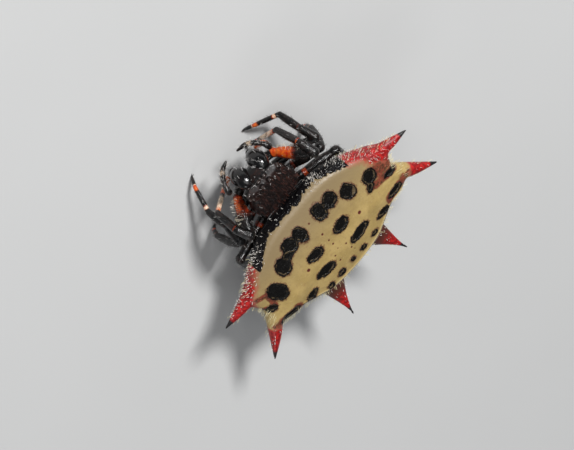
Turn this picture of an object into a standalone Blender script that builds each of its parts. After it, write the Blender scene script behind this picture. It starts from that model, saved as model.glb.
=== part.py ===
"""A spiny orb weaver, female, life size, legs folded round the head.

Units are metres and +Z is up. The spider faces -Y and stands on z = 0, so its own
left side is +X. Sizes below are in millimetres and pass through mm() once.
"""
import math

import bmesh
import bpy
from mathutils import Matrix, Vector

MM = 0.001
GAP = 0.30                # clear space between two neighbouring pieces
# Sizes are counted along the body from the line through the front spines' tips;
# this is the middle of the whole spider on the floor, which the model's origin takes.
MIDDLE = (0.0, -0.31, 0.0)

# The hard, crab-like abdomen. Heights are above the floor the feet stand on.
SHIELD_Z = 3.80           # height of the plane that holds the two front spines' tips
DOME_RISE = 0.85          # top of the back above that plane
# Half of the outline seen from above: distance to the side, place along the body.
HALF_OUTLINE = [
    (0.00, -2.62), (1.20, -2.58), (2.30, -2.36), (3.30, -1.86), (4.20, -1.22),
    (4.90, -0.62), (4.98, 0.06), (4.74, 0.74), (4.78, 1.36), (4.92, 1.86),
    (4.48, 2.18), (3.50, 2.34), (2.72, 2.74), (1.70, 3.20), (0.00, 3.38)]
CROWN_Y = 0.10            # where the back is highest
SPINNERET_Y = 0.75        # where the cone of the underside points
CONE_DROP = 2.05          # how far the cone hangs below the lower edge of the margin
CONE_LEVEL = 1.35         # height of the cone's blunt point
BACK_CURVE = 2.4          # over 2 keeps the back flat and steepens it at the edge
CONE_CURVE = 1.35         # over 1 hollows the cone's flanks
# The margin in front, beside and behind.
MARGIN_DEPTH = (0.66, 0.50, 0.62)        # half its height
MARGIN_ROUND = (0.62, 0.36, 0.30)        # how far its top rounds inwards
MARGIN_LOWER_ROUND = (0.40, 0.36, 0.30)  # and its bottom
MARGIN_LIFT = (-0.02, -0.04, -0.24)      # its middle above the plane of the front spines
MARGIN_UNDERCUT = (0.10, 0.00, 0.46)     # how far its lower edge is drawn in
MARGIN_FRONT, MARGIN_REAR = 2.3, 3.2     # how far along those sizes are reached
MARGIN_TURNS = (78, 50, 22, -8, -40, -72)   # degrees, from the back round to the underside
BACK_SHARES = (0.24, 0.48, 0.70, 0.88)   # rings of the back, crown to margin
CONE_SHARES = (0.86, 0.72, 0.56, 0.40, 0.27, 0.16)

# Spines: root inside the body, tip on the animal's left and right, radius at the root,
# height of the section as a share of its width, how far the middle bows, and the power
# with which it thins: 1 for a straight cone, more for a hollow-sided one.
SPINES = {
    "anterior": dict(root=(3.60, -0.72, -0.10), left=(6.58, -0.30, 0.00),
                     right=(6.38, 0.13, 0.00), radius=0.66, flat=0.85, bow=0.12, taper=1.0),
    "lateral": dict(root=(4.20, 1.05, -0.02), left=(6.24, 3.38, 0.02),
                    right=(6.28, 2.98, 0.02), radius=0.60, flat=0.90, bow=0.06, taper=1.0),
    "rear": dict(root=(1.34, 2.20, -0.34), left=(2.04, 5.40, -0.02),
                 right=(2.20, 5.22, -0.02), radius=1.20, flat=0.52, bow=-0.14, taper=1.5)}
SPINE_TIP_RADIUS = 0.045
SPINE_BEND = 0.55         # where along a spine it bows most
SPINE_SIDES = 14

# The collar at the cone's point and the six soft teats on it.
COLLAR_TOP, COLLAR_DEPTH = 1.02, 0.22
COLLAR_RADII = (0.46, 0.42)
TEATS = 6
TEAT_RING = 0.20          # the teats' roots stand on a ring this wide
TEAT_SPLAY = 0.06
TEAT_LENGTH = 0.34
TEAT_RADII = (0.15, 0.14, 0.10)

# The thin stalk between the thorax and the abdomen.
PEDICEL_LINE = [(0, -2.26, 2.66), (0, -2.05, 2.60), (0, -1.82, 2.60)]
PEDICEL_RADII = (0.20, 0.22, 0.20)

# Head and thorax in one shell, stations from the waist to the brow:
# place along the body, half width, height of the top, height of the lower edge.
CARAPACE = [
    (-2.86, 0.96, 3.68, 3.10), (-2.94, 1.14, 3.74, 3.06), (-3.18, 1.33, 3.86, 3.02),
    (-3.55, 1.40, 3.98, 3.00), (-3.95, 1.27, 4.08, 3.00), (-4.25, 1.12, 4.17, 3.06),
    (-4.50, 1.09, 4.22, 3.50), (-4.72, 1.08, 4.18, 3.84), (-4.90, 1.00, 4.06, 3.86),
    (-5.02, 0.78, 3.98, 3.88)]
CARAPACE_WAIST = 0.42     # height of its widest line, as a share of its height
CARAPACE_SIDE_CURVE, CARAPACE_TOP_CURVE, CARAPACE_UNDER_CURVE = 0.85, 0.80, 0.55
CARAPACE_SIDES = 28
# Eyes on the head: to the side, along, height, radius. Each row stands on both sides.
EYES = [(0.21, -5.00, 4.05, 0.13), (0.24, -4.72, 4.24, 0.13),
        (1.02, -4.80, 4.02, 0.12), (1.08, -4.62, 4.06, 0.12)]

# The plate under the thorax, place along the body and half width, and its mouth lobes.
STERNUM_ROWS = [(-2.62, 0.20), (-2.78, 0.36), (-3.10, 0.48), (-3.50, 0.50),
                (-3.90, 0.46), (-4.20, 0.36)]
STERNUM_TOP, STERNUM_BOTTOM = 2.62, 2.02
LOBE_LINE = [(0.12, -4.0, 2.2), (0.34, -4.46, 1.98), (0.66, -4.84, 1.80)]
LOBE_RADII = (0.20, 0.24, 0.22)

# A jaw: to the side of its own middle, along, height, share of its half width.
CHELICERA_SIDE = 0.58     # middle of each jaw from the body's middle line
CHELICERA_WIDTH = 0.43    # half width
CHELICERA_LINE = [(-0.02, -5.00, 3.36, 0.80), (0.0, -5.10, 3.12, 0.98), (0.0, -5.12, 2.86, 1.0),
                  (-0.03, -5.08, 2.64, 0.86), (-0.08, -5.02, 2.44, 0.64)]

# Joints of the legs as they lie folded, from hip to foot tip. The two sides differ as the
# animal holds them. Order: hip, trochanter, knee, top of the shin, ankle, heel, foot tip.
LEGS = {
    ("left", 1): [(0.82, -4.24, 2.30), (1.38, -4.10, 2.54), (2.37, -3.34, 4.20),
                  (2.60, -3.94, 4.00), (2.62, -4.55, 2.75), (1.65, -3.91, 1.20), (1.10, -3.49, 0.0)],
    ("left", 2): [(0.86, -3.46, 2.30), (1.68, -3.34, 2.38), (2.91, -2.92, 3.45),
                  (2.80, -3.55, 2.86), (2.87, -4.17, 1.70), (2.39, -4.99, 0.70), (2.08, -5.08, 0.0)],
    ("left", 3): [(0.86, -2.64, 2.22), (1.52, -2.56, 2.24), (3.02, -2.42, 2.70),
                  (3.30, -2.44, 2.28), (3.48, -2.42, 1.25), (3.40, -2.20, 0.55), (3.20, -2.00, 0.0)],
    ("left", 4): [(0.84, -1.86, 2.16), (1.36, -1.80, 2.26), (3.56, -1.46, 2.60),
                  (3.60, -0.72, 2.30), (3.62, 0.90, 1.34), (3.00, 2.26, 0.58), (2.64, 2.78, 0.0)],
    ("right", 1): [(0.82, -4.24, 2.30), (1.33, -4.20, 2.46), (2.61, -3.76, 4.30),
                   (2.53, -4.38, 3.82), (2.27, -4.74, 2.20), (1.21, -4.09, 0.80), (0.71, -3.79, 0.0)],
    ("right", 2): [(0.86, -3.46, 2.30), (1.68, -3.32, 2.36), (3.20, -3.30, 3.05),
                   (3.08, -3.88, 2.50), (2.94, -4.63, 1.46), (1.78, -4.66, 0.62), (1.22, -4.53, 0.0)],
    ("right", 3): [(0.86, -2.64, 2.22), (1.52, -2.56, 2.24), (2.98, -2.60, 2.96),
                   (3.27, -2.60, 2.55), (3.50, -2.50, 1.40), (3.42, -2.18, 0.60), (3.24, -1.96, 0.0)],
    ("right", 4): [(0.84, -1.86, 2.16), (1.36, -1.80, 2.26), (3.40, -1.38, 2.58),
                   (3.52, -0.64, 2.28), (3.70, 0.98, 1.34), (3.16, 2.36, 0.58), (2.84, 2.90, 0.0)]}
FEMUR_RADIUS = 0.30
TIBIA_RADIUS = 0.25
FOOT_RADIUS = 0.22
# Thickness along each piece as shares of its radius, at even steps.
FEMUR_SHARES = (0.74, 0.80, 0.86, 0.96, 1.00, 1.00, 0.96, 0.86, 0.72)
TIBIA_SHARES = (0.80, 0.98, 1.00, 0.84, 0.86, 0.92, 0.94, 0.88, 0.78)
FOOT_SHARES = (0.92, 1.00, 0.98, 0.95, 0.92, 0.92, 0.92, 0.86, 0.74, 0.62)
HIP_CLEAR = 0.12          # the thigh starts this far out from the hip's own middle
KNEE_CLEAR = 0.80         # and stops this far before the knee's turn
LEG_SIDES = 10
SOLE_REACH = 0.30         # the foot runs on this far below the floor and is cut there

# Feelers beside the jaws, from the mouth out and round to the front.
PALPS = {
    "left": [(1.38, -4.96, 2.12), (1.46, -4.94, 2.72), (1.50, -5.18, 3.12),
             (1.40, -5.52, 2.92), (0.98, -5.78, 2.46), (0.44, -5.80, 2.16)],
    "right": [(1.38, -4.96, 2.12), (1.46, -4.94, 2.74), (1.44, -5.16, 3.16),
              (1.34, -5.52, 2.96), (0.88, -5.82, 2.54), (0.26, -5.84, 2.32)]}
PALP_RADIUS = 0.21
ARM_SHARES = (0.90, 0.95, 1.00, 1.00, 1.00, 1.00, 1.00, 0.95)
BRUSH_SHARES = (0.95, 1.08, 1.10, 1.05, 0.90, 0.60)

COLOURS = {
    "shell": (0.62, 0.52, 0.36), "spine": (0.45, 0.02, 0.02), "dark": (0.02, 0.015, 0.012),
    "brown": (0.05, 0.025, 0.015), "orange": (0.42, 0.09, 0.02)}


def mm(point):
    """A point given in millimetres, in metres from the middle of the whole."""
    return (Vector(point) - Vector(MIDDLE)) * MM


def clear_scene():
    for old in list(bpy.data.objects):
        bpy.data.objects.remove(old, do_unlink=True)


def material(name, colour, roughness):
    found = bpy.data.materials.get(name)
    if found:
        return found
    made = bpy.data.materials.new(name)
    made.use_nodes = True
    shader = made.node_tree.nodes["Principled BSDF"]
    shader.inputs["Base Color"].default_value = (*colour, 1.0)
    shader.inputs["Roughness"].default_value = roughness
    shader.inputs["Metallic"].default_value = 0.0
    return made


def object_from(name, bm, surface):
    """Close a bmesh into a named object with its own material."""
    bmesh.ops.recalc_face_normals(bm, faces=bm.faces)
    mesh = bpy.data.meshes.new(name)
    bm.to_mesh(mesh)
    bm.free()
    mesh.shade_smooth()
    piece = bpy.data.objects.new(name, mesh)
    colour, roughness = surface
    mesh.materials.append(material(name + "_finish", COLOURS[colour], roughness))
    bpy.context.scene.collection.objects.link(piece)
    return piece


def smooth_through(points, per_span, closed=False):
    """Points along a Catmull-Rom curve; each point may carry radii after its place."""
    count = len(points)
    spans = count if closed else count - 1
    result = []
    for i in range(spans):
        if closed:
            a, b, c, d = (points[(i + k) % count] for k in (-1, 0, 1, 2))
        else:
            b, c = points[i], points[i + 1]
            a = points[i - 1] if i else [2 * p - q for p, q in zip(b, c)]
            d = points[i + 2] if i + 2 < count else [2 * q - p for p, q in zip(b, c)]
        for step in range(per_span):
            t = step / per_span
            result.append([
                0.5 * (2 * q + (r - p) * t + (2 * p - 5 * q + 4 * r - s) * t * t
                       + (3 * q - p - 3 * r + s) * t ** 3)
                for p, q, r, s in zip(a, b, c, d)])
    if not closed:
        result.append(list(points[-1]))
    return result


def along(path, distance):
    """The point at a distance along a polyline, counted in millimetres."""
    for first, second in zip(path, path[1:]):
        step = (second - first).length
        if distance <= step:
            return first.lerp(second, distance / step)
        distance -= step
    return path[-1].copy()


def trimmed(path, start, end, stations):
    """Even points along a path with a length taken off each end."""
    total = sum((b - a).length for a, b in zip(path, path[1:]))
    length = total - start - end
    return [along(path, start + length * i / (stations - 1)) for i in range(stations)]


def bridge_rings(bm, rings, first_pole=None, last_pole=None):
    """Join rings of vertices into a skin and close it with a vertex at each end."""
    count = len(rings[0])
    for lower, upper in zip(rings, rings[1:]):
        for i in range(count):
            j = (i + 1) % count
            bm.faces.new((lower[i], lower[j], upper[j], upper[i]))
    for pole, ring in ((first_pole, rings[0]), (last_pole, rings[-1])):
        for i in range(count):
            bm.faces.new((pole, ring[i], ring[(i + 1) % count]))


def add_tube(bm, centres, radii, sides, flatten=1.0, cap=0.75):
    """A round-ended tube through the centres, in millimetres."""
    centres = [Vector(c) for c in centres]
    tangents = []
    for i, _ in enumerate(centres):
        before = centres[max(i - 1, 0)]
        after = centres[min(i + 1, len(centres) - 1)]
        tangents.append((after - before).normalized())
    start_radius, end_radius = radii[0], radii[-1]
    turns = [math.radians(a) for a in (66, 33)]
    places, sizes, ways = [], [], []
    for turn in turns:
        places.append(centres[0] - tangents[0] * start_radius * cap * math.sin(turn))
        sizes.append(start_radius * math.cos(turn))
        ways.append(tangents[0])
    places += centres
    sizes += list(radii)
    ways += tangents
    for turn in reversed(turns):
        places.append(centres[-1] + tangents[-1] * end_radius * cap * math.sin(turn))
        sizes.append(end_radius * math.cos(turn))
        ways.append(tangents[-1])
    side = ways[0].orthogonal().normalized()
    if abs(ways[0].z) < 0.9:
        side = Vector((0, 0, 1)).cross(ways[0]).normalized()
    rings = []
    for place, size, way in zip(places, sizes, ways):
        side = (side - way * side.dot(way)).normalized()
        up = way.cross(side)
        ring = []
        for k in range(sides):
            angle = 2 * math.pi * k / sides
            offset = side * math.cos(angle) * size + up * math.sin(angle) * size * flatten
            ring.append(bm.verts.new(mm(place + offset)))
        rings.append(ring)
    first = bm.verts.new(mm(centres[0] - tangents[0] * start_radius * cap))
    last = bm.verts.new(mm(centres[-1] + tangents[-1] * end_radius * cap))
    bridge_rings(bm, rings, first, last)


def fuse(body, parts):
    """One Boolean union of the parts into the body; only its largest surface is kept."""
    gathered = bpy.data.collections.new(body.name + "_parts")
    bpy.context.scene.collection.children.link(gathered)
    for part in parts:
        for held in list(part.users_collection):
            held.objects.unlink(part)
        gathered.objects.link(part)
    union = body.modifiers.new("join", "BOOLEAN")
    union.operation = "UNION"
    union.solver = "EXACT"
    union.operand_type = "COLLECTION"
    union.collection = gathered
    bpy.context.view_layer.update()
    joined = bpy.data.meshes.new_from_object(
        body.evaluated_get(bpy.context.evaluated_depsgraph_get()))
    surface = body.data.materials[0]
    body.modifiers.clear()
    body.data = joined
    body.data.materials.clear()
    body.data.materials.append(surface)
    for part in parts:
        bpy.data.objects.remove(part, do_unlink=True)
    bpy.data.collections.remove(gathered)
    keep_largest_surface(body)


def keep_largest_surface(body):
    bm = bmesh.new()
    bm.from_mesh(body.data)
    left = set(bm.verts)
    surfaces = []
    while left:
        stack = [left.pop()]
        surface = set(stack)
        while stack:
            for edge in stack.pop().link_edges:
                for vert in edge.verts:
                    if vert not in surface:
                        surface.add(vert)
                        stack.append(vert)
        left -= surface
        surfaces.append(surface)
    surfaces.sort(key=len)
    for scrap in surfaces[:-1]:
        bmesh.ops.delete(bm, geom=list(scrap), context="VERTS")
    bmesh.ops.triangulate(bm, faces=bm.faces)
    for face in bm.faces:
        face.material_index = 0
    bm.to_mesh(body.data)
    bm.free()
    body.data.shade_smooth()


def margin_value(sizes, place):
    """A size of the margin at a place along the body, from its sizes in front, beside, behind."""
    front, side, rear = sizes
    end, reach = (front, MARGIN_FRONT) if place < 0 else (rear, MARGIN_REAR)
    share = min(1.0, abs(place) / reach)
    return side + (end - side) * share * share * (3 - 2 * share)


def shell_column(x, y):
    """Points of the abdomen from near the crown over one place of its outline to the cone."""
    half_depth = margin_value(MARGIN_DEPTH, y)
    middle = SHIELD_Z + margin_value(MARGIN_LIFT, y)
    reach = math.hypot(x, y)
    margin = []
    for turn in map(math.radians, MARGIN_TURNS):
        sizes = MARGIN_ROUND if turn > 0 else MARGIN_LOWER_ROUND
        inset = margin_value(sizes, y) * (1 - math.cos(turn))
        inset += margin_value(MARGIN_UNDERCUT, y) * (1 - math.sin(turn)) / 2
        share = 1 - inset / reach
        margin.append((x * share, y * share, middle + half_depth * math.sin(turn)))
    top, bottom = margin[0], margin[-1]
    column = []
    for share in BACK_SHARES:
        column.append((top[0] * share, CROWN_Y + (top[1] - CROWN_Y) * share,
                       top[2] + (SHIELD_Z + DOME_RISE - top[2]) * (1 - share ** BACK_CURVE)))
    column += margin
    for share in CONE_SHARES:
        column.append((bottom[0] * share, SPINNERET_Y + (bottom[1] - SPINNERET_Y) * share,
                       bottom[2] - CONE_DROP * (1 - share) ** CONE_CURVE))
    return column


def add_abdomen_shell(bm):
    """The back, its rounded margin and the low cone of the underside, in rings."""
    right_half = [(-x, y) for x, y in reversed(HALF_OUTLINE[1:-1])]
    outline = smooth_through(HALF_OUTLINE + right_half, 3, closed=True)
    columns = [shell_column(x, y) for x, y in outline]
    rings = [[bm.verts.new(mm(point)) for point in ring] for ring in zip(*columns)]
    top = bm.verts.new(mm((0, CROWN_Y, SHIELD_Z + DOME_RISE)))
    bottom = bm.verts.new(mm((0, SPINNERET_Y, CONE_LEVEL)))
    bridge_rings(bm, rings, top, bottom)


def spine_path(root, tip, bow):
    """A spine's axis: straight at the root, bowed a little towards its tip."""
    root, tip = Vector(root), Vector(tip)
    middle = root.lerp(tip, SPINE_BEND) + Vector((0, bow, 0))
    return [Vector(p) for p in smooth_through([root, middle, tip], 5)]


def make_abdomen():
    bm = bmesh.new()
    add_abdomen_shell(bm)
    body = object_from("abdomen", bm, ("shell", 0.35))
    spines = []
    for place, size in SPINES.items():
        for name, side in (("left", 1), ("right", -1)):
            path = spine_path(size["root"], size[name], size["bow"])
            centres = [Vector((p.x * side, p.y, p.z + SHIELD_Z)) for p in path]
            inward = [1 - i / (len(centres) - 1) for i in range(len(centres))]
            radii = [SPINE_TIP_RADIUS + (size["radius"] - SPINE_TIP_RADIUS) * share ** size["taper"]
                     for share in inward]
            bm = bmesh.new()
            add_tube(bm, centres, radii, SPINE_SIDES, flatten=size["flat"])
            spines.append(object_from(f"spine_{place}_{name}", bm, ("spine", 0.3)))
    fuse(body, spines)


def make_spinnerets():
    """A low collar at the cone's tip with short teats round it."""
    bm = bmesh.new()
    collar_bottom = COLLAR_TOP - COLLAR_DEPTH
    add_tube(bm, [(0, SPINNERET_Y, COLLAR_TOP), (0, SPINNERET_Y, collar_bottom)],
             COLLAR_RADII, 16, cap=0.2)
    body = object_from("spinnerets", bm, ("dark", 0.5))
    teats = []
    for i in range(TEATS):
        angle = 2 * math.pi * (i + 0.5) / TEATS
        outward = Vector((math.cos(angle), math.sin(angle), 0))
        root = Vector((0, SPINNERET_Y, collar_bottom + COLLAR_DEPTH / 3)) + outward * TEAT_RING
        tip = root + outward * TEAT_SPLAY - Vector((0, 0, TEAT_LENGTH))
        bm = bmesh.new()
        add_tube(bm, [root, root.lerp(tip, 0.5), tip], TEAT_RADII, 8)
        teats.append(object_from(f"teat_{i}", bm, ("dark", 0.5)))
    fuse(body, teats)


def make_pedicel():
    bm = bmesh.new()
    add_tube(bm, PEDICEL_LINE, PEDICEL_RADII, 12, cap=0.4)
    object_from("pedicel", bm, ("brown", 0.5))


def make_carapace():
    """Low waist, swollen thorax and a raised, square brow, with the eyes grown on."""
    bm = bmesh.new()
    rings = []
    for y, half_width, top, low in smooth_through(CARAPACE, 2):
        middle = low + (top - low) * CARAPACE_WAIST
        ring = []
        for k in range(CARAPACE_SIDES):
            angle = 2 * math.pi * k / CARAPACE_SIDES
            reach, rise = math.cos(angle), math.sin(angle)
            x = half_width * math.copysign(abs(reach) ** CARAPACE_SIDE_CURVE, reach)
            if rise >= 0:
                z = middle + (top - middle) * rise ** CARAPACE_TOP_CURVE
            else:
                z = middle - (middle - low) * abs(rise) ** CARAPACE_UNDER_CURVE
            ring.append(bm.verts.new(mm((x, y, z))))
        rings.append(ring)
    back, front = CARAPACE[0], CARAPACE[-1]
    waist = bm.verts.new(mm((0, back[0] + 0.06, (back[2] + back[3]) / 2)))
    brow = bm.verts.new(mm((0, front[0] - 0.05, (front[2] + front[3]) / 2)))
    bridge_rings(bm, rings, waist, brow)
    body = object_from("carapace", bm, ("brown", 0.45))
    eyes = []
    for x, y, z, radius in EYES:
        for side in (-1, 1):
            bm = bmesh.new()
            bmesh.ops.create_icosphere(bm, subdivisions=1, radius=radius * MM,
                                       matrix=Matrix.Translation(mm((x * side, y, z))))
            eyes.append(object_from(f"eye_{x}_{side}", bm, ("dark", 0.1)))
    fuse(body, eyes)


def make_sternum():
    """The heart-shaped plate under the thorax, with the two mouth lobes in front."""
    bm = bmesh.new()
    middle = (STERNUM_TOP + STERNUM_BOTTOM) / 2
    half = (STERNUM_TOP - STERNUM_BOTTOM) / 2
    add_tube(bm, [(0, y, middle) for y, _ in STERNUM_ROWS], [w for _, w in STERNUM_ROWS], 14,
             flatten=0.6, cap=0.5)
    for vert in bm.verts:
        vert.co.z = max(middle - half, min(middle + half, vert.co.z / MM)) * MM
    body = object_from("sternum", bm, ("brown", 0.5))
    lobes = []
    for side in (-1, 1):
        bm = bmesh.new()
        add_tube(bm, [(x * side, y, z) for x, y, z in LOBE_LINE], LOBE_RADII, 10)
        lobes.append(object_from(f"lobe_{side}", bm, ("brown", 0.5)))
    fuse(body, lobes)


def make_chelicerae():
    """Two stout jaws that bulge forward below the brow and narrow to the mouth."""
    for name, side in (("left", 1), ("right", -1)):
        bm = bmesh.new()
        add_tube(bm, [((CHELICERA_SIDE + x) * side, y, z) for x, y, z, _ in CHELICERA_LINE],
                 [CHELICERA_WIDTH * share for *_, share in CHELICERA_LINE], 14, cap=0.5)
        object_from(f"chelicera_{name}", bm, ("dark", 0.2))


def make_leg(side_name, number, joints):
    """Three pieces for each leg: hip to knee, knee to ankle, ankle to foot tip."""
    side = 1 if side_name == "left" else -1
    hip, hinge, knee, shank, ankle, heel, tip = (Vector((x * side, y, z)) for x, y, z in joints)

    thigh = [Vector(p) for p in smooth_through([hip, hinge, hinge.lerp(knee, 0.5), knee], 4)]
    centres = trimmed(thigh, HIP_CLEAR, KNEE_CLEAR, len(FEMUR_SHARES))
    bm = bmesh.new()
    add_tube(bm, centres, [FEMUR_RADIUS * share for share in FEMUR_SHARES], LEG_SIDES)
    object_from(f"leg_{number}_{side_name}_femur", bm, ("orange", 0.3))

    # The stout patella turns the folded knee and runs on into the shin as one piece.
    shin = [Vector(p) for p in smooth_through([knee, shank, shank.lerp(ankle, 0.5), ankle], 4)]
    clear = GAP / 2 + TIBIA_RADIUS * 0.6
    centres = trimmed(shin, 0.0, clear, len(TIBIA_SHARES))
    bm = bmesh.new()
    add_tube(bm, centres, [TIBIA_RADIUS * share for share in TIBIA_SHARES], LEG_SIDES)
    object_from(f"leg_{number}_{side_name}_tibia", bm, ("dark", 0.25))

    below = tip + (tip - heel).normalized() * SOLE_REACH
    foot = [Vector(p) for p in smooth_through([ankle, ankle.lerp(heel, 0.5), heel, tip, below], 4)]
    centres = trimmed(foot, clear, 0.0, len(FOOT_SHARES))
    bm = bmesh.new()
    add_tube(bm, centres, [FOOT_RADIUS * share for share in FOOT_SHARES], LEG_SIDES)
    everything = list(bm.verts) + list(bm.edges) + list(bm.faces)
    cut = bmesh.ops.bisect_plane(bm, geom=everything, plane_co=(0, 0, 0), plane_no=(0, 0, -1),
                                 clear_outer=True)
    rim = [e for e in cut["geom_cut"] if isinstance(e, bmesh.types.BMEdge)]
    bmesh.ops.contextual_create(bm, geom=rim)
    object_from(f"leg_{number}_{side_name}_foot", bm, ("dark", 0.3))


def make_palps():
    """Feelers in two pieces each: the arm beside the jaw and the bristly end."""
    for name, points in PALPS.items():
        side = 1 if name == "left" else -1
        places = [Vector((x * side, y, z)) for x, y, z in points]
        arm = [Vector(p) for p in smooth_through(places[:4], 4)]
        end = [Vector(p) for p in smooth_through(places[3:], 4)]
        clear = GAP / 2 + PALP_RADIUS * 0.5
        bm = bmesh.new()
        add_tube(bm, trimmed(arm, 0.0, clear, len(ARM_SHARES)),
                 [PALP_RADIUS * share for share in ARM_SHARES], 10)
        object_from(f"palp_{name}_arm", bm, ("dark", 0.3))
        bm = bmesh.new()
        add_tube(bm, trimmed(end, clear, 0.0, len(BRUSH_SHARES)),
                 [PALP_RADIUS * share for share in BRUSH_SHARES], 10)
        object_from(f"palp_{name}_tarsus", bm, ("dark", 0.4))


def build():
    clear_scene()
    make_abdomen()
    make_spinnerets()
    make_pedicel()
    make_carapace()
    make_sternum()
    make_chelicerae()
    make_palps()
    for (side_name, number), joints in LEGS.items():
        make_leg(side_name, number, joints)


build()
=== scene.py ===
"""The looks of a spiny orb weaver: a still, life-size model of a grown female.

Shapes are worked out in millimetres, in the solids' own counting along the body, and are
moved into the frame's metres once, when each piece is finished.
"""
import math

import bpy
import numpy as np
from mathutils import Matrix, Vector
from mathutils.bvhtree import BVHTree


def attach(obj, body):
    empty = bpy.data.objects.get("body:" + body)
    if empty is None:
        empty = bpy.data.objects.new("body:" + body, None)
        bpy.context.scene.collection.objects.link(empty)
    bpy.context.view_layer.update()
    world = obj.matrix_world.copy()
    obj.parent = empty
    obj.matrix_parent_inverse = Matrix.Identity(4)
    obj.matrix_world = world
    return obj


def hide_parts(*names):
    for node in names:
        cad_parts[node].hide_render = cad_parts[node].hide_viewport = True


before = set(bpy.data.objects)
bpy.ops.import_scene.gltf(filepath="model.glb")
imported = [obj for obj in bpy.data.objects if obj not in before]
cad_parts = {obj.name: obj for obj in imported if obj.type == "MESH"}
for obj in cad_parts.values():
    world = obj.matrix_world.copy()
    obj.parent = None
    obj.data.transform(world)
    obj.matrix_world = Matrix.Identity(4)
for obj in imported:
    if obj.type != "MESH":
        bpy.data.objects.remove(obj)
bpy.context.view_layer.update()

# The abdomen is one hard, sealed shell of cuticle, flat and crab-like, with six spines grown
# out of its margin. Rings run from the crown over the margin to the cone of the underside, and
# they and the spines are fused into a single skin, then dished and ridged where the marks are.
MM = 0.001
MIDDLE_Y = -0.31  # the frame's origin along the body, in the solids' counting
SHIELD_Z = 3.80
CROWN_Y, DOME_RISE, DOME_CURVE = 0.10, 0.84, 2.4
CONE_Y, CONE_DROP, CONE_CURVE = 0.75, 1.98, 1.35
DOME_RINGS, MARGIN_RINGS, CONE_RINGS = 24, 20, 20
HALF_OUTLINE = [
    (0.00, -2.62), (1.20, -2.58), (2.30, -2.36), (3.30, -1.86), (4.20, -1.22),
    (4.90, -0.62), (4.98, 0.06), (4.74, 0.74), (4.78, 1.36), (4.92, 1.86),
    (4.48, 2.18), (3.50, 2.34), (2.72, 2.74), (1.70, 3.20), (0.00, 3.38)]
# Sizes of the margin in front, beside and behind.
MARGIN_DEPTH = (0.66, 0.50, 0.62)
MARGIN_ROUND = (0.62, 0.36, 0.30)
MARGIN_LOWER_ROUND = (0.40, 0.36, 0.30)
MARGIN_RISE = (-0.02, -0.04, -0.24)
MARGIN_UNDERCUT = (0.10, 0.0, 0.46)
MARGIN_TOP, MARGIN_FOOT = 80, -72  # degrees round its section
MARGIN_EASE_AHEAD, MARGIN_EASE_BEHIND = 2.3, 3.2
SIDES = {"left": 1, "right": -1}
SPINES = {
    "anterior": dict(root=(3.60, -0.72, -0.10), left=(6.58, -0.30, 0.00),
                     right=(6.38, 0.13, 0.00), radius=0.66, flat=0.85, bow=0.12,
                     taper=1.0, red=0.12),
    "lateral": dict(root=(4.20, 1.05, -0.02), left=(6.24, 3.38, 0.02),
                    right=(6.28, 2.98, 0.02), radius=0.60, flat=0.90, bow=0.06,
                    taper=1.0, red=0.42),
    "rear": dict(root=(1.34, 2.20, -0.34), left=(2.04, 5.40, -0.02),
                 right=(2.20, 5.22, -0.02), radius=1.20, flat=0.52, bow=-0.14,
                 taper=1.5, red=0.15)}
SPINE_TIP = 0.045
SPINE_SKIN, SPINE_START = 0.16, 0.12  # how near its surface, and from where, all is spine
RED_OFF_SHELL, RED_RATE = 0.06, 3.0  # where a spine's red starts, and how fast it deepens
CREASE_REACH = (0.08, 0.5)  # over what distance the melting at its root fades
SHELL_GRAIN = 0.046
CAP_TURNS = (72, 48, 24)
EASING = 0.6
FIELD_GAP = 0.03
FAR = 9.0  # farther than any two places on the spider that are compared


def smooth_line(points, per_span, closed=False):
    """Places along a Catmull-Rom curve through the points."""
    points = np.array(points, float)
    if closed:
        around = np.vstack([points[-1:], points, points[:2]])
    else:
        around = np.vstack([2 * points[0] - points[1], points, 2 * points[-1] - points[-2]])
    share = np.arange(per_span)[:, None] / per_span
    result = []
    for a, b, c, d in zip(around, around[1:], around[2:], around[3:]):
        result.append(0.5 * (2 * b + (c - a) * share + (2 * a - 5 * b + 4 * c - d) * share ** 2
                             + (3 * b - a - 3 * c + d) * share ** 3))
    if not closed:
        result.append(points[-1:])
    return np.vstack(result)


def skin_rings(rings, first, last):
    """Vertices and faces of a closed skin over rings of points, with a point at each end."""
    count = len(rings[0])
    verts = np.vstack(list(rings) + [[first], [last]])
    last_row = len(rings) - 1

    def corner(row, k):
        return row * count + k % count

    faces = [(corner(row, k), corner(row, k + 1), corner(row + 1, k + 1), corner(row + 1, k))
             for row in range(last_row) for k in range(count)]
    for k in range(count):
        faces.append((len(verts) - 2, corner(0, k + 1), k))
        faces.append((len(verts) - 1, corner(last_row, k), corner(last_row, k + 1)))
    return verts, faces


def headings(line):
    """The way that a line runs at each of its points."""
    way = np.gradient(line, axis=0)
    return way / np.linalg.norm(way, axis=1)[:, None]


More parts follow.
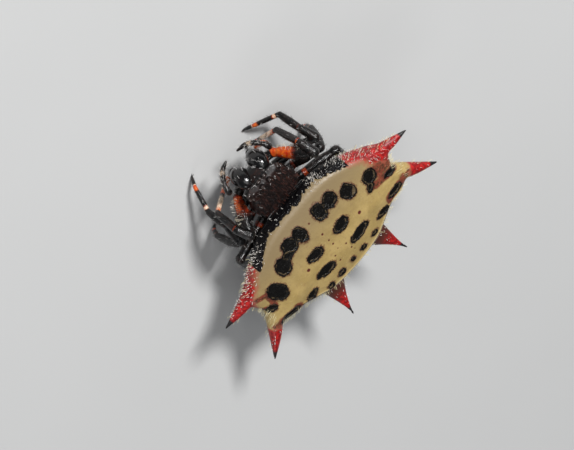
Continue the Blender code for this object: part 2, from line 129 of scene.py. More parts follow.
def tube(centres, radii, sides=24, flat=1.0, cap=0.8):
    """A round-ended tube through the centres; flat squashes its section from above."""
    centres = np.array(centres, float)
    radii = np.array(radii, float)
    way = headings(centres)
    turns = np.radians(CAP_TURNS)
    lead = centres[0] - way[0] * (radii[0] * cap * np.sin(turns))[:, None]
    tail = centres[-1] + way[-1] * (radii[-1] * cap * np.sin(turns[::-1]))[:, None]
    places = np.vstack([lead, centres, tail])
    sizes = np.hstack([radii[0] * np.cos(turns), radii, radii[-1] * np.cos(turns[::-1])])
    ways = np.vstack([np.repeat(way[:1], len(turns), 0), way, np.repeat(way[-1:], len(turns), 0)])
    side = np.cross((0.0, 0.0, 1.0), ways[0])
    if np.linalg.norm(side) < 0.3:
        side = np.cross((0.0, 1.0, 0.0), ways[0])
    angles = 2 * np.pi * np.arange(sides) / sides
    rings = []
    for place, size, heading in zip(places, sizes, ways):
        side = side - heading * side.dot(heading)
        side /= np.linalg.norm(side)
        above = np.cross(heading, side)
        rings.append(place + size * (np.cos(angles)[:, None] * side
                                     + flat * np.sin(angles)[:, None] * above))
    return skin_rings(rings, centres[0] - way[0] * radii[0] * cap,
                      centres[-1] + way[-1] * radii[-1] * cap)


def joined(shapes):
    """Several closed shapes as one mesh."""
    verts, faces = [], []
    for places, corners in shapes:
        start = len(verts)
        verts.extend(map(tuple, places))
        faces.extend(tuple(start + k for k in corner) for corner in corners)
    mesh = bpy.data.meshes.new("joined")
    mesh.from_pydata(verts, [], faces)
    mesh.update()
    return mesh


def placed(name, data):
    """An object in the scene that shows the mesh, lamp or camera."""
    thing = bpy.data.objects.new(name, data)
    bpy.context.scene.collection.objects.link(thing)
    return thing


def made_plain(holder):
    """What the holder's modifier makes, as a mesh of its own. The holder goes."""
    bpy.context.view_layer.update()
    mesh = bpy.data.meshes.new_from_object(
        holder.evaluated_get(bpy.context.evaluated_depsgraph_get()))
    bpy.data.objects.remove(holder, do_unlink=True)
    return mesh


def one_skin(shapes, grain):
    """Closed shapes melted into one surface of even, fine quads."""
    holder = placed("melting", joined(shapes))
    melting = holder.modifiers.new("melt", "REMESH")
    melting.mode = "VOXEL"
    melting.voxel_size = grain
    return made_plain(holder)


def numbers(source, what, kind=np.float32, width=1):
    """A number, or a row of them, from each element of a mesh."""
    values = np.empty(len(source) * width, kind)
    source.foreach_get(what, values)
    return values.reshape(-1, width) if width > 1 else values


def read(mesh, what="co"):
    """The vertices' places, or their normals."""
    if what == "co":
        return numbers(mesh.vertices, "co", width=3).astype(float)
    return numbers(mesh.vertex_normals, "vector", width=3).astype(float)


def write(mesh, places):
    mesh.vertices.foreach_set("co", np.asarray(places, np.float32).ravel())
    mesh.update()


def note(mesh, **kept):
    """Keep numbers, or directions, on the vertices for the finish and the coat."""
    for name, values in kept.items():
        values = np.asarray(values, np.float32)
        kind, field = ("FLOAT", "value") if values.ndim == 1 else ("FLOAT_VECTOR", "vector")
        mesh.attributes.new(name, kind, "POINT").data.foreach_set(field, values.ravel())


def relax(mesh, rounds, share=1.0, pushes=(EASING, -EASING - 0.01)):
    """Even the surface out without shrinking it, by a share that may differ from place to place.

    With a single push, it fills hollows and rounds creases off instead.
    """
    one, other = numbers(mesh.edges, "vertices", np.int32, 2).T
    places = read(mesh)
    size = len(places)
    neighbours = np.bincount(one, minlength=size) + np.bincount(other, minlength=size)
    share = np.broadcast_to(np.asarray(share, float), size)[:, None]
    for push in pushes * rounds:
        middle = np.stack([np.bincount(one, axis[other], size) + np.bincount(other, axis[one], size)
                           for axis in places.T], axis=1) / neighbours[:, None]
        places += (middle - places) * share * push
    write(mesh, places)


def step(value, low, high):
    """0 below low, 1 above high and a soft rise between."""
    share = np.clip((np.asarray(value, float) - low) / (high - low), 0, 1)
    return share * share * (3 - 2 * share)


def along_line(places, line):
    """How far along a polyline each place lies, 0 to 1, and how far from it."""
    best = np.full(len(places), 1e9)
    where = np.zeros(len(places))
    lengths = np.linalg.norm(np.diff(line, axis=0), axis=1)
    starts = np.concatenate([[0], np.cumsum(lengths)])
    for start, end, length, gone in zip(line, line[1:], lengths, starts):
        share = np.clip((places - start) @ (end - start) / length ** 2, 0, 1)
        far = np.linalg.norm(places - start - share[:, None] * (end - start), axis=1)
        closer = far < best
        best[closer] = far[closer]
        where[closer] = (gone + share * length)[closer] / starts[-1]
    return where, best


def unwrap(mesh):
    """Lay the skin out flat by the six ways that its faces look, each in its own field."""
    corners = numbers(mesh.loops, "vertex_index", np.int32)
    totals = numbers(mesh.polygons, "loop_total", np.int32)
    normals = numbers(mesh.polygons, "normal", width=3)
    axis = np.abs(normals).argmax(1)
    toward = normals[np.arange(len(axis)), axis] > 0
    field = np.repeat(axis * 2 + toward, totals)
    axis = np.repeat(axis, totals)
    places = read(mesh)
    low, high = places.min(0), places.max(0)
    spots = ((places - low) / (high - low).max())[corners]
    across = np.where(axis == 0, spots[:, 1], spots[:, 0])
    upward = np.where(axis == 2, spots[:, 1], spots[:, 2])
    across, upward = (FIELD_GAP + (1 - 2 * FIELD_GAP) * share for share in (across, upward))
    flat = np.stack([(field % 3 + across) / 3, (field // 3 + upward) / 2], axis=1)
    layer = mesh.uv_layers.new(name="unwrap")
    layer.data.foreach_set("uv", flat.astype(np.float32).ravel())


def finished(name, mesh, finish, slot, *stands_for):
    """Turn a shape in millimetres into a piece of the frame."""
    mesh.transform(Matrix.Scale(MM, 4) @ Matrix.Translation((0, -MIDDLE_Y, 0)))
    mesh.name = name
    mesh.materials.clear()
    mesh.materials.append(finish)
    mesh.shade_smooth()
    piece = placed(name, mesh)
    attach(piece, "root")
    if stands_for:
        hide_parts(*stands_for)
    return piece


def margin_value(sizes, y):
    """A size of the margin in front, beside and behind, eased from one to the next."""
    front, side, rear = sizes
    ahead = side + (front - side) * step(-y, 0, MARGIN_EASE_AHEAD)
    behind = side + (rear - side) * step(y, 0, MARGIN_EASE_BEHIND)
    return np.where(y < 0, ahead, behind)


def outline(per_span):
    """The shell's outline from above, all the way round."""
    right_half = [(-x, y) for x, y in reversed(HALF_OUTLINE[1:-1])]
    return smooth_line(HALF_OUTLINE + right_half, per_span, closed=True)


def abdomen_rings():
    x, y = outline(12).T
    reach = np.hypot(x, y)
    depth, undercut = margin_value(MARGIN_DEPTH, y), margin_value(MARGIN_UNDERCUT, y)
    middle = SHIELD_Z + margin_value(MARGIN_RISE, y)

    def margin(turn):
        rounding = margin_value(MARGIN_ROUND if turn > 0 else MARGIN_LOWER_ROUND, y)
        inset = rounding * (1 - np.cos(turn)) + undercut * 0.5 * (1 - np.sin(turn))
        share = 1 - inset / reach
        return np.stack([x * share, y * share, middle + depth * np.sin(turn)], axis=1)

    top, foot = math.radians(MARGIN_TOP), math.radians(MARGIN_FOOT)
    upper, lower = margin(top), margin(foot)
    rings = []
    for share in np.linspace(0.04, 0.96, DOME_RINGS):
        ring = upper * share
        ring[:, 1] += CROWN_Y * (1 - share)
        rise = SHIELD_Z + DOME_RISE - upper[:, 2]
        ring[:, 2] = upper[:, 2] + rise * (1 - share ** DOME_CURVE)
        rings.append(ring)
    rings += [margin(turn) for turn in np.linspace(top, foot, MARGIN_RINGS)]
    for share in np.linspace(0.95, 0.08, CONE_RINGS):
        ring = lower * share
        ring[:, 1] += CONE_Y * (1 - share)
        ring[:, 2] = lower[:, 2] - CONE_DROP * (1 - share) ** CONE_CURVE
        rings.append(ring)
    return skin_rings(rings, (0, CROWN_Y, SHIELD_Z + DOME_RISE),
                      (0, CONE_Y, lower[:, 2].mean() - CONE_DROP))


spine_lines = {}
for spine_name, size in SPINES.items():
    for side_name, side in SIDES.items():
        root, tip = np.array(size["root"]), np.array(size[side_name])
        bend = root + (tip - root) * 0.55 + (0, size["bow"], 0)
        line = smooth_line([root, bend, tip], 14)
        line = line * (side, 1, 1) + (0, 0, SHIELD_Z)
        out = np.linspace(0, 1, len(line))
        thickness = SPINE_TIP + (size["radius"] - SPINE_TIP) * (1 - out) ** size["taper"]
        spine_lines[spine_name, side_name] = (line, thickness, size)

plain_shell = abdomen_rings()
shapes = [plain_shell]
for line, thickness, size in spine_lines.values():
    shapes.append(tube(line, thickness, sides=28, flat=size["flat"], cap=1.4))
shell = one_skin(shapes, SHELL_GRAIN)
relax(shell, 3)

# Where each vertex stands: how far out along a spine and how far off the plain shell. The
# crease at each spine's root is then melted into a hollow, as the cuticle flows into it.
places = read(shell)
shell_tree = BVHTree.FromPolygons([Vector(p) for p in plain_shell[0]], plain_shell[1])
off_shell = np.array([shell_tree.find_nearest(Vector(p))[3] for p in places])
spine_out, spine_kind, crease = np.zeros((3, len(places)))
redness = np.full(len(places), -1.0)
spine_gap = np.full(len(places), FAR)
for (spine_name, _), (line, thickness, size) in spine_lines.items():
    raised = np.array((1, 1, 1 / size["flat"]))
    out, far = along_line(places * raised, line * raised)
    gap = far - np.interp(out, np.linspace(0, 1, len(line)), thickness)
    off_spine = np.abs(gap)
    spine_gap = np.minimum(spine_gap, np.maximum(gap, 0))
    near = (off_spine < SPINE_SKIN) & (out > SPINE_START)
    spine_out[near] = out[near]
    spine_kind[near] = spine_name == "rear"
    past_root = np.minimum(off_shell - RED_OFF_SHELL, (out - size["red"]) * RED_RATE)
    redness[near] = past_root[near]
    off_both = step(np.hypot(off_shell, off_spine), *CREASE_REACH)
    crease = np.maximum(crease, (out > 0.1) * (1 - off_both))
relax(shell, 60, crease, pushes=(EASING,))

# Marks on the back: to the side, along, half width, half length, turn. Pairs that touch run
# together. The pores between them have a place and a radius.
MARKS = [
    (-0.63, -1.28, 0.39, 0.53, 0), (-1.40, -1.31, 0.41, 0.48, 0), (-2.29, -0.76, 0.41, 0.50, 12),
    (-3.50, -0.26, 0.43, 0.44, 0), (-3.16, 0.22, 0.22, 0.32, -55), (-4.36, 0.72, 0.42, 0.20, -14),
    (0.79, -1.25, 0.36, 0.55, 0), (1.54, -1.28, 0.45, 0.47, 0), (2.00, -0.98, 0.30, 0.30, 0),
    (2.50, -0.69, 0.42, 0.57, -8), (3.60, 0.17, 0.47, 0.70, 10), (4.44, 0.70, 0.34, 0.26, -20),
    (-0.86, 0.22, 0.52, 0.36, 4), (1.04, 0.26, 0.52, 0.34, -4),
    (-1.22, 1.52, 0.66, 0.32, 4), (1.26, 1.52, 0.60, 0.34, -4),
    (0.02, 2.51, 0.17, 0.17, 0), (-0.78, 2.53, 0.20, 0.18, 0), (0.84, 2.56, 0.24, 0.20, 0),
    (-1.66, 2.48, 0.22, 0.18, 0), (1.66, 2.62, 0.22, 0.20, 0), (-2.69, 2.02, 0.42, 0.23, 0),
    (2.62, 2.10, 0.42, 0.28, 20), (-3.86, 1.68, 0.54, 0.24, 0), (4.04, 1.92, 0.64, 0.27, -6)]
PORES = [
    (-0.38, 1.80, 0.05), (0.45, 1.80, 0.05), (-0.34, 1.32, 0.05), (0.46, 1.32, 0.05),
    (0.09, 0.66, 0.05), (0.09, 0.30, 0.05), (0.09, -0.26, 0.06), (0.12, -1.30, 0.05),
    (-1.90, 0.66, 0.09), (1.84, 0.62, 0.09), (0.10, 1.10, 0.03), (-0.45, 2.05, 0.03)]

# How far the black front band reaches in over the back, from the animal's right to its left.
BAND = [(-3.3, 0.28), (-2.8, 0.26), (-2.4, 0.20), (-1.95, 0.16), (-1.65, 0.08), (-1.04, 0.12),
        (-0.63, 0.17), (-0.19, 0.26), (-0.01, 0.13), (0.29, 0.19), (0.63, 0.17), (0.85, 0.13),
        (1.25, 0.20), (1.67, 0.10), (2.10, 0.14), (2.59, 0.22), (3.30, 0.30)]
# Red-brown stains between the outer marks and the spines: strokes, from, to and half width.
STAINS = [
    (-4.75, 0.78, -3.40, 0.42, 0.26), (-4.90, 0.30, -3.90, 0.05, 0.28),
    (-4.70, 0.05, -4.10, -0.30, 0.26), (-3.96, 0.30, -3.90, -0.36, 0.16),
    (4.16, 0.64, 4.12, -0.06, 0.17), (4.90, -0.40, 4.06, -0.20, 0.17),
    (4.98, 0.28, 4.62, 0.52, 0.20), (3.42, 2.08, 3.52, 1.76, 0.20),
    (4.46, 2.02, 5.00, 1.80, 0.18), (-5.00, 1.74, -4.20, 1.66, 0.18),
    (-3.30, 1.90, -3.34, 1.66, 0.16), (3.56, 2.00, 4.76, 1.92, 0.36),
    (-4.56, 1.70, -3.46, 1.72, 0.31)]
RUNNING = 0.10  # how near two marks run into each other
HEM_RIDGE, HEM_FURROW = 0.36, 0.24  # how far in from the edge they lie
HEM_HEIGHT, MARK_DEPTH, MARK_LIP, PORE_DEPTH = 0.035, 0.045, 0.018, 0.020
BAND_JAG, BAND_SEED = 0.009, 4
BAND_ENDS, BAND_LOPSIDED = (3.35, 3.6), 0.22  # where it ends, and how much sooner on the right
# The red on a shoulder: its least width, how much it widens, where, and over what length.
RED_SHOULDERS = {"left": (0.10, 0.16, -0.70, 0.40), "right": (0.20, 0.40, -0.45, 0.50)}
SHOULDER_START = (2.95, 3.2)
BELLY_LINE = 0.42  # how far below the middle of the shield the black underside starts


def spot_edge(places, spots):
    """Distance to the edge of the nearest spot, below zero inside it."""
    nearest = np.full(len(places), FAR)
    for x, y, half_width, half_length, turn in spots:
        angle = math.radians(turn)
        dx, dy = places[:, 0] - x, places[:, 1] - y
        across = (dx * math.cos(angle) + dy * math.sin(angle)) / half_width
        ahead = (-dx * math.sin(angle) + dy * math.cos(angle)) / half_length
        far = (np.sqrt(across ** 2 + ahead ** 2) - 1) * math.sqrt(half_width * half_length)
        shared = np.clip(0.5 + 0.5 * (nearest - far) / RUNNING, 0, 1)
        nearest = nearest + (far - nearest) * shared - RUNNING * shared * (1 - shared)
    return nearest


def hump(value, width):
    """1 where the value is 0, falling off on both sides within about the width."""
    return np.exp(-(value / width) ** 2)


places = read(shell)
normals = read(shell, "normal")
upward = step(places[:, 2], SHIELD_Z - 0.1, SHIELD_Z + 0.15)
x, y, z = places.T
mark = spot_edge(places, MARKS) + (1 - upward) * 3
pore = spot_edge(places, [(x, y, size, size, 0) for x, y, size in PORES]) + (1 - upward) * 3
dish = MARK_LIP * hump(mark, 0.05) - MARK_DEPTH * step(-mark, 0.0, 0.16)
dish -= PORE_DEPTH * step(-pore, -0.03, 0.03)
# A raised hem runs round the rear margin, with a furrow inside it.
edge = outline(8)
edge = np.hstack([edge, np.zeros((len(edge), 1))])
_, from_edge = along_line(places * (1, 1, 0), np.vstack([edge, edge[:1]]))
behind = step(y, 0.4, 1.4) * step(spine_gap, 0.05, 0.55)
hem_top = step(z, SHIELD_Z + 0.05, SHIELD_Z + 0.25)
ridged = hump(from_edge - HEM_RIDGE, 0.07) - hump(from_edge - HEM_FURROW, 0.06)
dish += behind * hem_top * HEM_HEIGHT * ridged
write(shell, places + normals * dish[:, None])

# Where the black band, the red shoulders, the stains and the underside lie.
front = step(-y, 0.9, 1.5)
band_x, band_reach = np.array(BAND).T
chance = np.random.default_rng(BAND_SEED)
jag = sum(np.sin(x * rate + chance.uniform(0, 6)) for rate in chance.uniform(7, 30, 7)) * BAND_JAG
band_width = np.interp(x, band_x, band_reach) + jag
in_front = front * (1 - step(np.abs(x) + BAND_LOPSIDED * (x < 0), *BAND_ENDS))
above_band = step(z, SHIELD_Z - 0.2, SHIELD_Z + 0.2)
band = (from_edge - band_width) * above_band - 0.3 * (1 - above_band)
band = np.where(in_front > 0.5, band, 1.0)
left_width, right_width = (least + more * hump(y - widest, length)
                           for least, more, widest, length in RED_SHOULDERS.values())
shoulder_width = np.where(x < 0, right_width, left_width)
on_shoulder = step(np.abs(x), *SHOULDER_START) * step(-y, -0.30, 0.0)
redness = np.maximum(redness, np.where(on_shoulder > 0.5, shoulder_width - from_edge, -1.0))
stain = np.zeros(len(places))
for start_x, start_y, end_x, end_y, width in STAINS:
    stroke = np.array([(start_x, start_y, 0), (end_x, end_y, 0)])
    _, far = along_line(places * (1, 1, 0), stroke)
    stain = np.maximum(stain, 1 - step(far / width, 0.45, 1.35))
# The front of the back is also noted for painted shade: its tan darkens and greys towards the front
# edge.
note(shell, mark=mark, pore=pore, band=band, redness=redness, tip=spine_out,
     rear_spine=spine_kind, stain=stain * upward, below=step(SHIELD_Z - BELLY_LINE - z, -0.12, 0.12),
     dull_front=1 - step(y, -2.2, 1.2), hem=from_edge + 1 - step(y, 1.6, 2.3))
unwrap(shell)

# The enamel's colours; a pair is a tone's darker and lighter end.
TAN = (0.328, 0.230, 0.080), (0.404, 0.287, 0.107)
TAN_SPOTS = (0.260, 0.165, 0.072)
TAN_FLECKS = (0.560, 0.440, 0.250)
# Painted shade: the darker, greyer tan towards the front of the back.
TAN_FRONT_SHADE = (0.212, 0.154, 0.079)
HEM_PALE = (0.66, 0.56, 0.34)
# Painted shade: the broken dark line along the furrow of the rear hem.
FURROW_SHADE = (0.020, 0.013, 0.008)
RUST = (0.030, 0.004, 0.003), (0.170, 0.024, 0.014)
RUST_FLECKS = (0.330, 0.120, 0.075)
MARK_FRINGE = (0.075, 0.018, 0.011)
PORE = (0.080, 0.012, 0.010)
CRIMSON = (0.170, 0.003, 0.004), (0.420, 0.012, 0.010)
# Painted shade: the dark red-brown at the roots of the rear spines.
REAR_ROOT_SHADE = (0.060, 0.016, 0.010)
SALMON = (0.300, 0.085, 0.050)
MARK_BLACK = (0.004, 0.0035, 0.003)
MARK_RING = (0.130, 0.092, 0.048)
BAND_BLACK = (0.004, 0.0035, 0.004)
POINT_BLACK = (0.010, 0.008, 0.008)
BELLY_BLACK = (0.010, 0.008, 0.007)
BELLY_BLOTCH = (0.48, 0.40, 0.20)


class Nodes:
    """A node tree that is built in plain steps."""

    def __init__(self, tree):
        self.tree = tree

    def put(self, socket, value):
        if isinstance(value, bpy.types.NodeSocket):
            self.tree.links.new(value, socket)
        else:
            socket.default_value = (*value, 1.0) if socket.type == "RGBA" else value

    def node(self, kind, settings=None, *firsts, **values):
        """A node; firsts go to its first sockets, values to the sockets of their names."""
        made = self.tree.nodes.new(kind)
        for name, value in (settings or {}).items():
            setattr(made, name, value)
        for socket, value in zip(made.inputs, firsts):
            self.put(socket, value)
        for name, value in values.items():
            self.put(made.inputs[name.replace("_", " ")], value)
        return made

    def sum(self, operation, *values):
        return self.node("ShaderNodeMath", {"operation": operation}, *values).outputs[0]

    def plus(self, one, other):
        return self.sum("ADD", one, other)

    def times(self, one, other):
        return self.sum("MULTIPLY", one, other)

    def scaled(self, value, factor, added):
        """The value times the factor, and the rest added."""
        return self.sum("MULTIPLY_ADD", value, factor, added)

    def vector(self, operation, *values, **named):
        made = self.node("ShaderNodeVectorMath", {"operation": operation}, *values, **named)
        return made.outputs[0]


class Finish(Nodes):
    """A material; its patterns count in millimetres."""

    def __init__(self, name):
        self.material = bpy.data.materials.new(name)
        self.material.use_nodes = True
        super().__init__(self.material.node_tree)
        metres = self.node("ShaderNodeTexCoord").outputs["Object"]
        self.place = self.vector("SCALE", metres, Scale=1 / MM)

    def noise(self, per_mm, detail=3.0):
        made = self.node("ShaderNodeTexNoise", Vector=self.place, Scale=per_mm, Detail=detail,
                         Roughness=0.55)
        return made.outputs[0]

    def cells(self, per_mm):
        made = self.node("ShaderNodeTexVoronoi", Vector=self.place, Scale=per_mm)
        return made.outputs["Distance"]

    def noted(self, name):
        return self.node("ShaderNodeAttribute", {"attribute_name": name}).outputs["Fac"]

    def rise(self, value, low, high):
        """0 to 1 as the value goes from low to high, or back where low is the larger."""
        low, high, start, end = (low, high, 0.0, 1.0) if low < high else (high, low, 1.0, 0.0)
        made = self.node("ShaderNodeMapRange", {"interpolation_type": "SMOOTHSTEP"}, Value=value,
                         From_Min=low, From_Max=high, To_Min=start, To_Max=end)
        return made.outputs["Result"]

    def mix(self, share, one, other, most=1.0):
        """From one colour towards the other, at most by the last share."""
        if most < 1:
            share = self.times(share, most)
        made = self.node("ShaderNodeMix", {"data_type": "RGBA"}, share)
        self.put(made.inputs[6], one)
        self.put(made.inputs[7], other)
        return made.outputs[2]

    def bump(self, height, depth_mm):
        return self.node("ShaderNodeBump", Height=height, Distance=depth_mm * MM).outputs["Normal"]

    def use(self, **values):
        for name, value in values.items():
            self.put(self.tree.nodes["Principled BSDF"].inputs[name.replace("_", " ")], value)
        return self.material


def abdomen_finish():
    """Tan enamel with black marks, a black front band, crimson spines and black points."""
    paint = Finish("abdomen_enamel")
    broad, fine, speck = paint.noise(1.1), paint.noise(7.0, 4.0), paint.noise(16.0, 2.0)
    tip, hem = paint.noted("tip"), paint.noted("hem")
    tan = paint.mix(paint.rise(broad, 0.35, 0.65), *TAN)
    tan = paint.mix(paint.rise(fine, 0.5, 0.72), tan, TAN_SPOTS, 0.45)
    tan = paint.mix(paint.rise(speck, 0.60, 0.75), tan, TAN_FLECKS, 0.35)
    # Painted shade: the tan darkens and greys towards the front edge of the back.
    tan = paint.mix(paint.noted("dull_front"), tan, TAN_FRONT_SHADE)
    tan = paint.mix(paint.rise(hem, 0.46, 0.32), tan, HEM_PALE, 0.6)
    # Painted shade: a broken dark line along the hem's furrow, kept off the spines.
    off_furrow = paint.sum("ABSOLUTE", paint.plus(hem, -0.235))
    line = paint.times(paint.rise(off_furrow, 0.055, 0.020), paint.rise(broad, 0.30, 0.48))
    tan = paint.mix(paint.times(line, paint.rise(tip, 0.08, 0.0)), tan, FURROW_SHADE)

    ragged = paint.times(paint.plus(fine, -0.5), 0.34)
    wavy = paint.scaled(paint.noise(2.6, 2.0), 0.26, -0.13)
    stain = paint.scaled(ragged, 2.6, paint.noted("stain"))
    stain = paint.scaled(paint.noise(3.0, 2.0), 0.8, paint.plus(stain, -0.4))
    rust = paint.mix(paint.rise(fine, 0.36, 0.58), *RUST)
    rust = paint.mix(paint.rise(speck, 0.58, 0.72), rust, RUST_FLECKS)
    tan = paint.mix(paint.rise(stain, 0.15, 0.85), tan, rust, 0.92)
    mark = paint.plus(paint.noted("mark"), paint.scaled(ragged, 0.45, wavy))
    fringe = paint.scaled(speck, -0.30, paint.plus(mark, 0.15))
    tan = paint.mix(paint.rise(fringe, 0.11, 0.0), tan, MARK_FRINGE, 0.85)
    pore = paint.scaled(ragged, 0.15, paint.noted("pore"))
    tan = paint.mix(paint.rise(pore, 0.03, -0.02), tan, PORE)

    red = paint.mix(paint.rise(fine, 0.4, 0.65), *CRIMSON)
    # Painted shade darkens the rear spines' red towards their roots.
    rear_root_shade = paint.times(paint.noted("rear_spine"), paint.rise(tip, 0.70, 0.42))
    red = paint.mix(rear_root_shade, red, REAR_ROOT_SHADE)
    redness = paint.plus(paint.noted("redness"), ragged)
    colour = paint.mix(paint.rise(redness, -0.24, 0.0), tan, SALMON, 0.75)
    colour = paint.mix(paint.rise(redness, -0.06, 0.08), colour, red)

    warped = paint.scaled(paint.noise(2.6), 0.34, paint.noted("mark"))
    ring = paint.rise(paint.sum("ABSOLUTE", paint.plus(warped, -0.06)), 0.045, 0.005)
    ring = paint.times(ring, paint.rise(paint.noise(3.4), 0.44, 0.60))
    in_mark = paint.rise(mark, 0.018, -0.018)
    colour = paint.mix(in_mark, colour, paint.mix(ring, MARK_BLACK, MARK_RING, 0.75))
    band = paint.scaled(ragged, 0.20, paint.scaled(wavy, 0.5, paint.noted("band")))
    in_band = paint.rise(band, 0.02, -0.02)
    colour = paint.mix(in_band, colour, BAND_BLACK)
    point = paint.rise(paint.scaled(ragged, 0.1, tip), 0.84, 0.88)
    colour = paint.mix(point, colour, POINT_BLACK)
    under = paint.mix(paint.rise(paint.cells(0.9), 0.24, 0.16), BELLY_BLACK, BELLY_BLOTCH)
    in_under = paint.rise(paint.scaled(ragged, 0.6, paint.noted("below")), 0.44, 0.52)
    colour = paint.mix(in_under, colour, under)

    pitted = paint.scaled(fine, 1.5, paint.cells(14.0))
    crests = paint.times(paint.plus(ring, pitted), in_mark)
    wrinkled = paint.sum("MAXIMUM", in_band, in_under)
    grain = paint.scaled(fine, 0.35, paint.times(crests, 0.5))
    grain = paint.scaled(paint.times(paint.noise(4.5, 3.0), wrinkled), 3.5, grain)
    rough = paint.scaled(in_band, -0.22, paint.scaled(in_mark, -0.14, 0.42))
    shine = paint.scaled(in_mark, -0.24, paint.scaled(wrinkled, -0.28, 0.42))
    return paint.use(Base_Color=colour, Roughness=rough, Specular_IOR_Level=shine,
                     Normal=paint.bump(grain, 0.05))


finished("abdomen_skin", shell.copy(), abdomen_finish(), "abdomen_shell", "abdomen")

# Bristles stand along the shell's margin and on the spines: stiff, tapered hairs of clear
# cuticle, each in its own socket. White ones crowd the front edge and the red spines, and a
# thin yellowish fringe runs round the rear hem. They are strewn over the skin as geometry.
BRISTLE_SIDES = 3
BRISTLE_STEPS = 4
BAKE_PATCH = 0.003  # how much of the baked picture one bristle takes


def bristle_tree():
    """Tapered hairs over a skin: thick where its growth is high, leaning along its lie."""
    tree = bpy.data.node_groups.new("bristles", "GeometryNodeTree")
    sockets = {"Skin": "Geometry", "Per square mm": "Float", "Length": "Float",
               "Thickness": "Float", "Lean": "Float", "Curl": "Float", "Unruly": "Float",
               "Seed": "Int", "Finish": "Material"}
    for name, kind in sockets.items():
        tree.interface.new_socket(name, in_out="INPUT", socket_type="NodeSocket" + kind)
    tree.interface.new_socket("Bristles", in_out="OUTPUT", socket_type="NodeSocketGeometry")
    sown = Nodes(tree)
    node, vector, times = sown.node, sown.vector, sown.times
    given = node("NodeGroupInput").outputs

    def noted(name, kind="FLOAT"):
        return node("GeometryNodeInputNamedAttribute", {"data_type": kind}, Name=name).outputs[0]

    roots = node("GeometryNodeDistributePointsOnFaces", Mesh=given["Skin"], Seed=given["Seed"],
                 Density=times(given["Per square mm"], noted("growth")))
    stray = node("FunctionNodeRandomValue", {"data_type": "FLOAT_VECTOR"}, Seed=given["Seed"])
    stray.inputs["Min"].default_value = (-1, -1, -1)
    stray.inputs["Max"].default_value = (1, 1, 1)
    upright = vector("SCALE", roots.outputs["Normal"],
                     Scale=sown.sum("SUBTRACT", 1.0, given["Lean"]))
    lying = vector("SCALE", noted("lie", "FLOAT_VECTOR"), Scale=given["Lean"])
    heading = vector("ADD", vector("ADD", upright, lying),
                     vector("SCALE", stray.outputs["Value"], Scale=given["Unruly"]))
    aimed = node("FunctionNodeAlignRotationToVector", {"axis": "Z"}, Vector=heading)
    turned = node("FunctionNodeAlignRotationToVector", {"axis": "X", "pivot_axis": "Z"},
                  Rotation=aimed.outputs[0], Vector=roots.outputs["Normal"])

    bend = node("ShaderNodeCombineXYZ", X=times(given["Curl"], -1.0), Z=1.0)
    axis = node("GeometryNodeCurveQuadraticBezier", Resolution=BRISTLE_STEPS,
                Start=(0, 0, -0.06), Middle=(0, 0, 0.55), End=bend.outputs[0])
    out = node("GeometryNodeSplineParameter").outputs["Factor"]
    taper = sown.sum("POWER", sown.sum("SUBTRACT", 1.02, out), 0.7)
    tapered = node("GeometryNodeSetCurveRadius", Curve=axis.outputs[0], Radius=taper)
    slimness = sown.sum("DIVIDE", given["Thickness"], given["Length"])
    section = node("GeometryNodeCurvePrimitiveCircle", Resolution=BRISTLE_SIDES,
                   Radius=times(slimness, 0.5))
    hair = node("GeometryNodeCurveToMesh", Curve=tapered.outputs[0],
                Profile_Curve=section.outputs[0], Fill_Caps=True)
    own = node("GeometryNodeStoreNamedAttribute", {"data_type": "FLOAT_VECTOR"},
               Geometry=hair.outputs[0], Name="own",
               Value=node("GeometryNodeInputPosition").outputs[0])

    tint = node("FunctionNodeRandomValue", Min=0.0, Max=1.0, Seed=given["Seed"])
    tint = next(o for o in tint.outputs if o.enabled)
    tinted = node("GeometryNodeStoreNamedAttribute", {"data_type": "FLOAT"},
                  Geometry=roots.outputs["Points"], Name="tint", Value=tint)
    size = times(given["Length"], sown.scaled(tint, 0.55, 0.60))
    strewn = node("GeometryNodeInstanceOnPoints", Points=tinted.outputs[0],
                  Instance=own.outputs[0], Rotation=turned.outputs[0], Scale=size)
    real = node("GeometryNodeRealizeInstances", Geometry=strewn.outputs[0])
    parts = node("ShaderNodeSeparateXYZ", Vector=noted("own", "FLOAT_VECTOR")).outputs
    across = sown.sum("DIVIDE", parts["Y"], slimness)
    patch = node("ShaderNodeCombineXYZ", X=times(parts["Z"], BAKE_PATCH),
                 Y=times(across, BAKE_PATCH))
    spot = vector("ADD", noted("unwrap", "FLOAT_VECTOR"), patch.outputs[0])
    laid = node("GeometryNodeStoreNamedAttribute", {"data_type": "FLOAT2", "domain": "CORNER"},
                Geometry=real.outputs[0], Name="OFBake", Value=spot)
    dressed = node("GeometryNodeSetMaterial", Geometry=laid.outputs[0], Material=given["Finish"])
    node("NodeGroupOutput", None, dressed.outputs[0])
    return tree


BRISTLES = bristle_tree()


def coat(name, skin, growth, lie, finish, slot, **sizes):
    """Bristles on one skin as a plain mesh piece; sizes are the tree's own inputs.

    They lean along one lie for all, or along each vertex's own.
    """
    ground = skin.copy()
    for kept in [a.name for a in ground.attributes if not a.is_required]:
        if kept != "unwrap" and not kept.startswith("."):
            ground.attributes.remove(ground.attributes[kept])
    note(ground, growth=growth, lie=np.broadcast_to(lie, (len(growth), 3)))
    holder = placed(name, ground)
    strew = holder.modifiers.new("bristles", "NODES")
    strew.node_group = BRISTLES
    for socket, value in (sizes | {"Finish": finish}).items():
        strew[BRISTLES.interface.items_tree[socket.replace("_", " ")].identifier] = value
    hairs = made_plain(holder)
    for spare in ("own", "unwrap", "lie"):
        if hairs.attributes.get(spare):
            hairs.attributes.remove(hairs.attributes[spare])
    return finished(name, hairs, finish, slot)


def hair_finish(name, root, tip, pale_share=1.0):
    """Dark bristles of the root colour, with the given share of them paling to the tip's."""
    paint = Finish(name)
    shade = paint.mix(paint.rise(paint.noted("tint"), 1 - pale_share, 1.0), root, tip)
    return paint.use(Base_Color=paint.mix(paint.noise(30.0), shade, root, 0.4), Roughness=0.35)


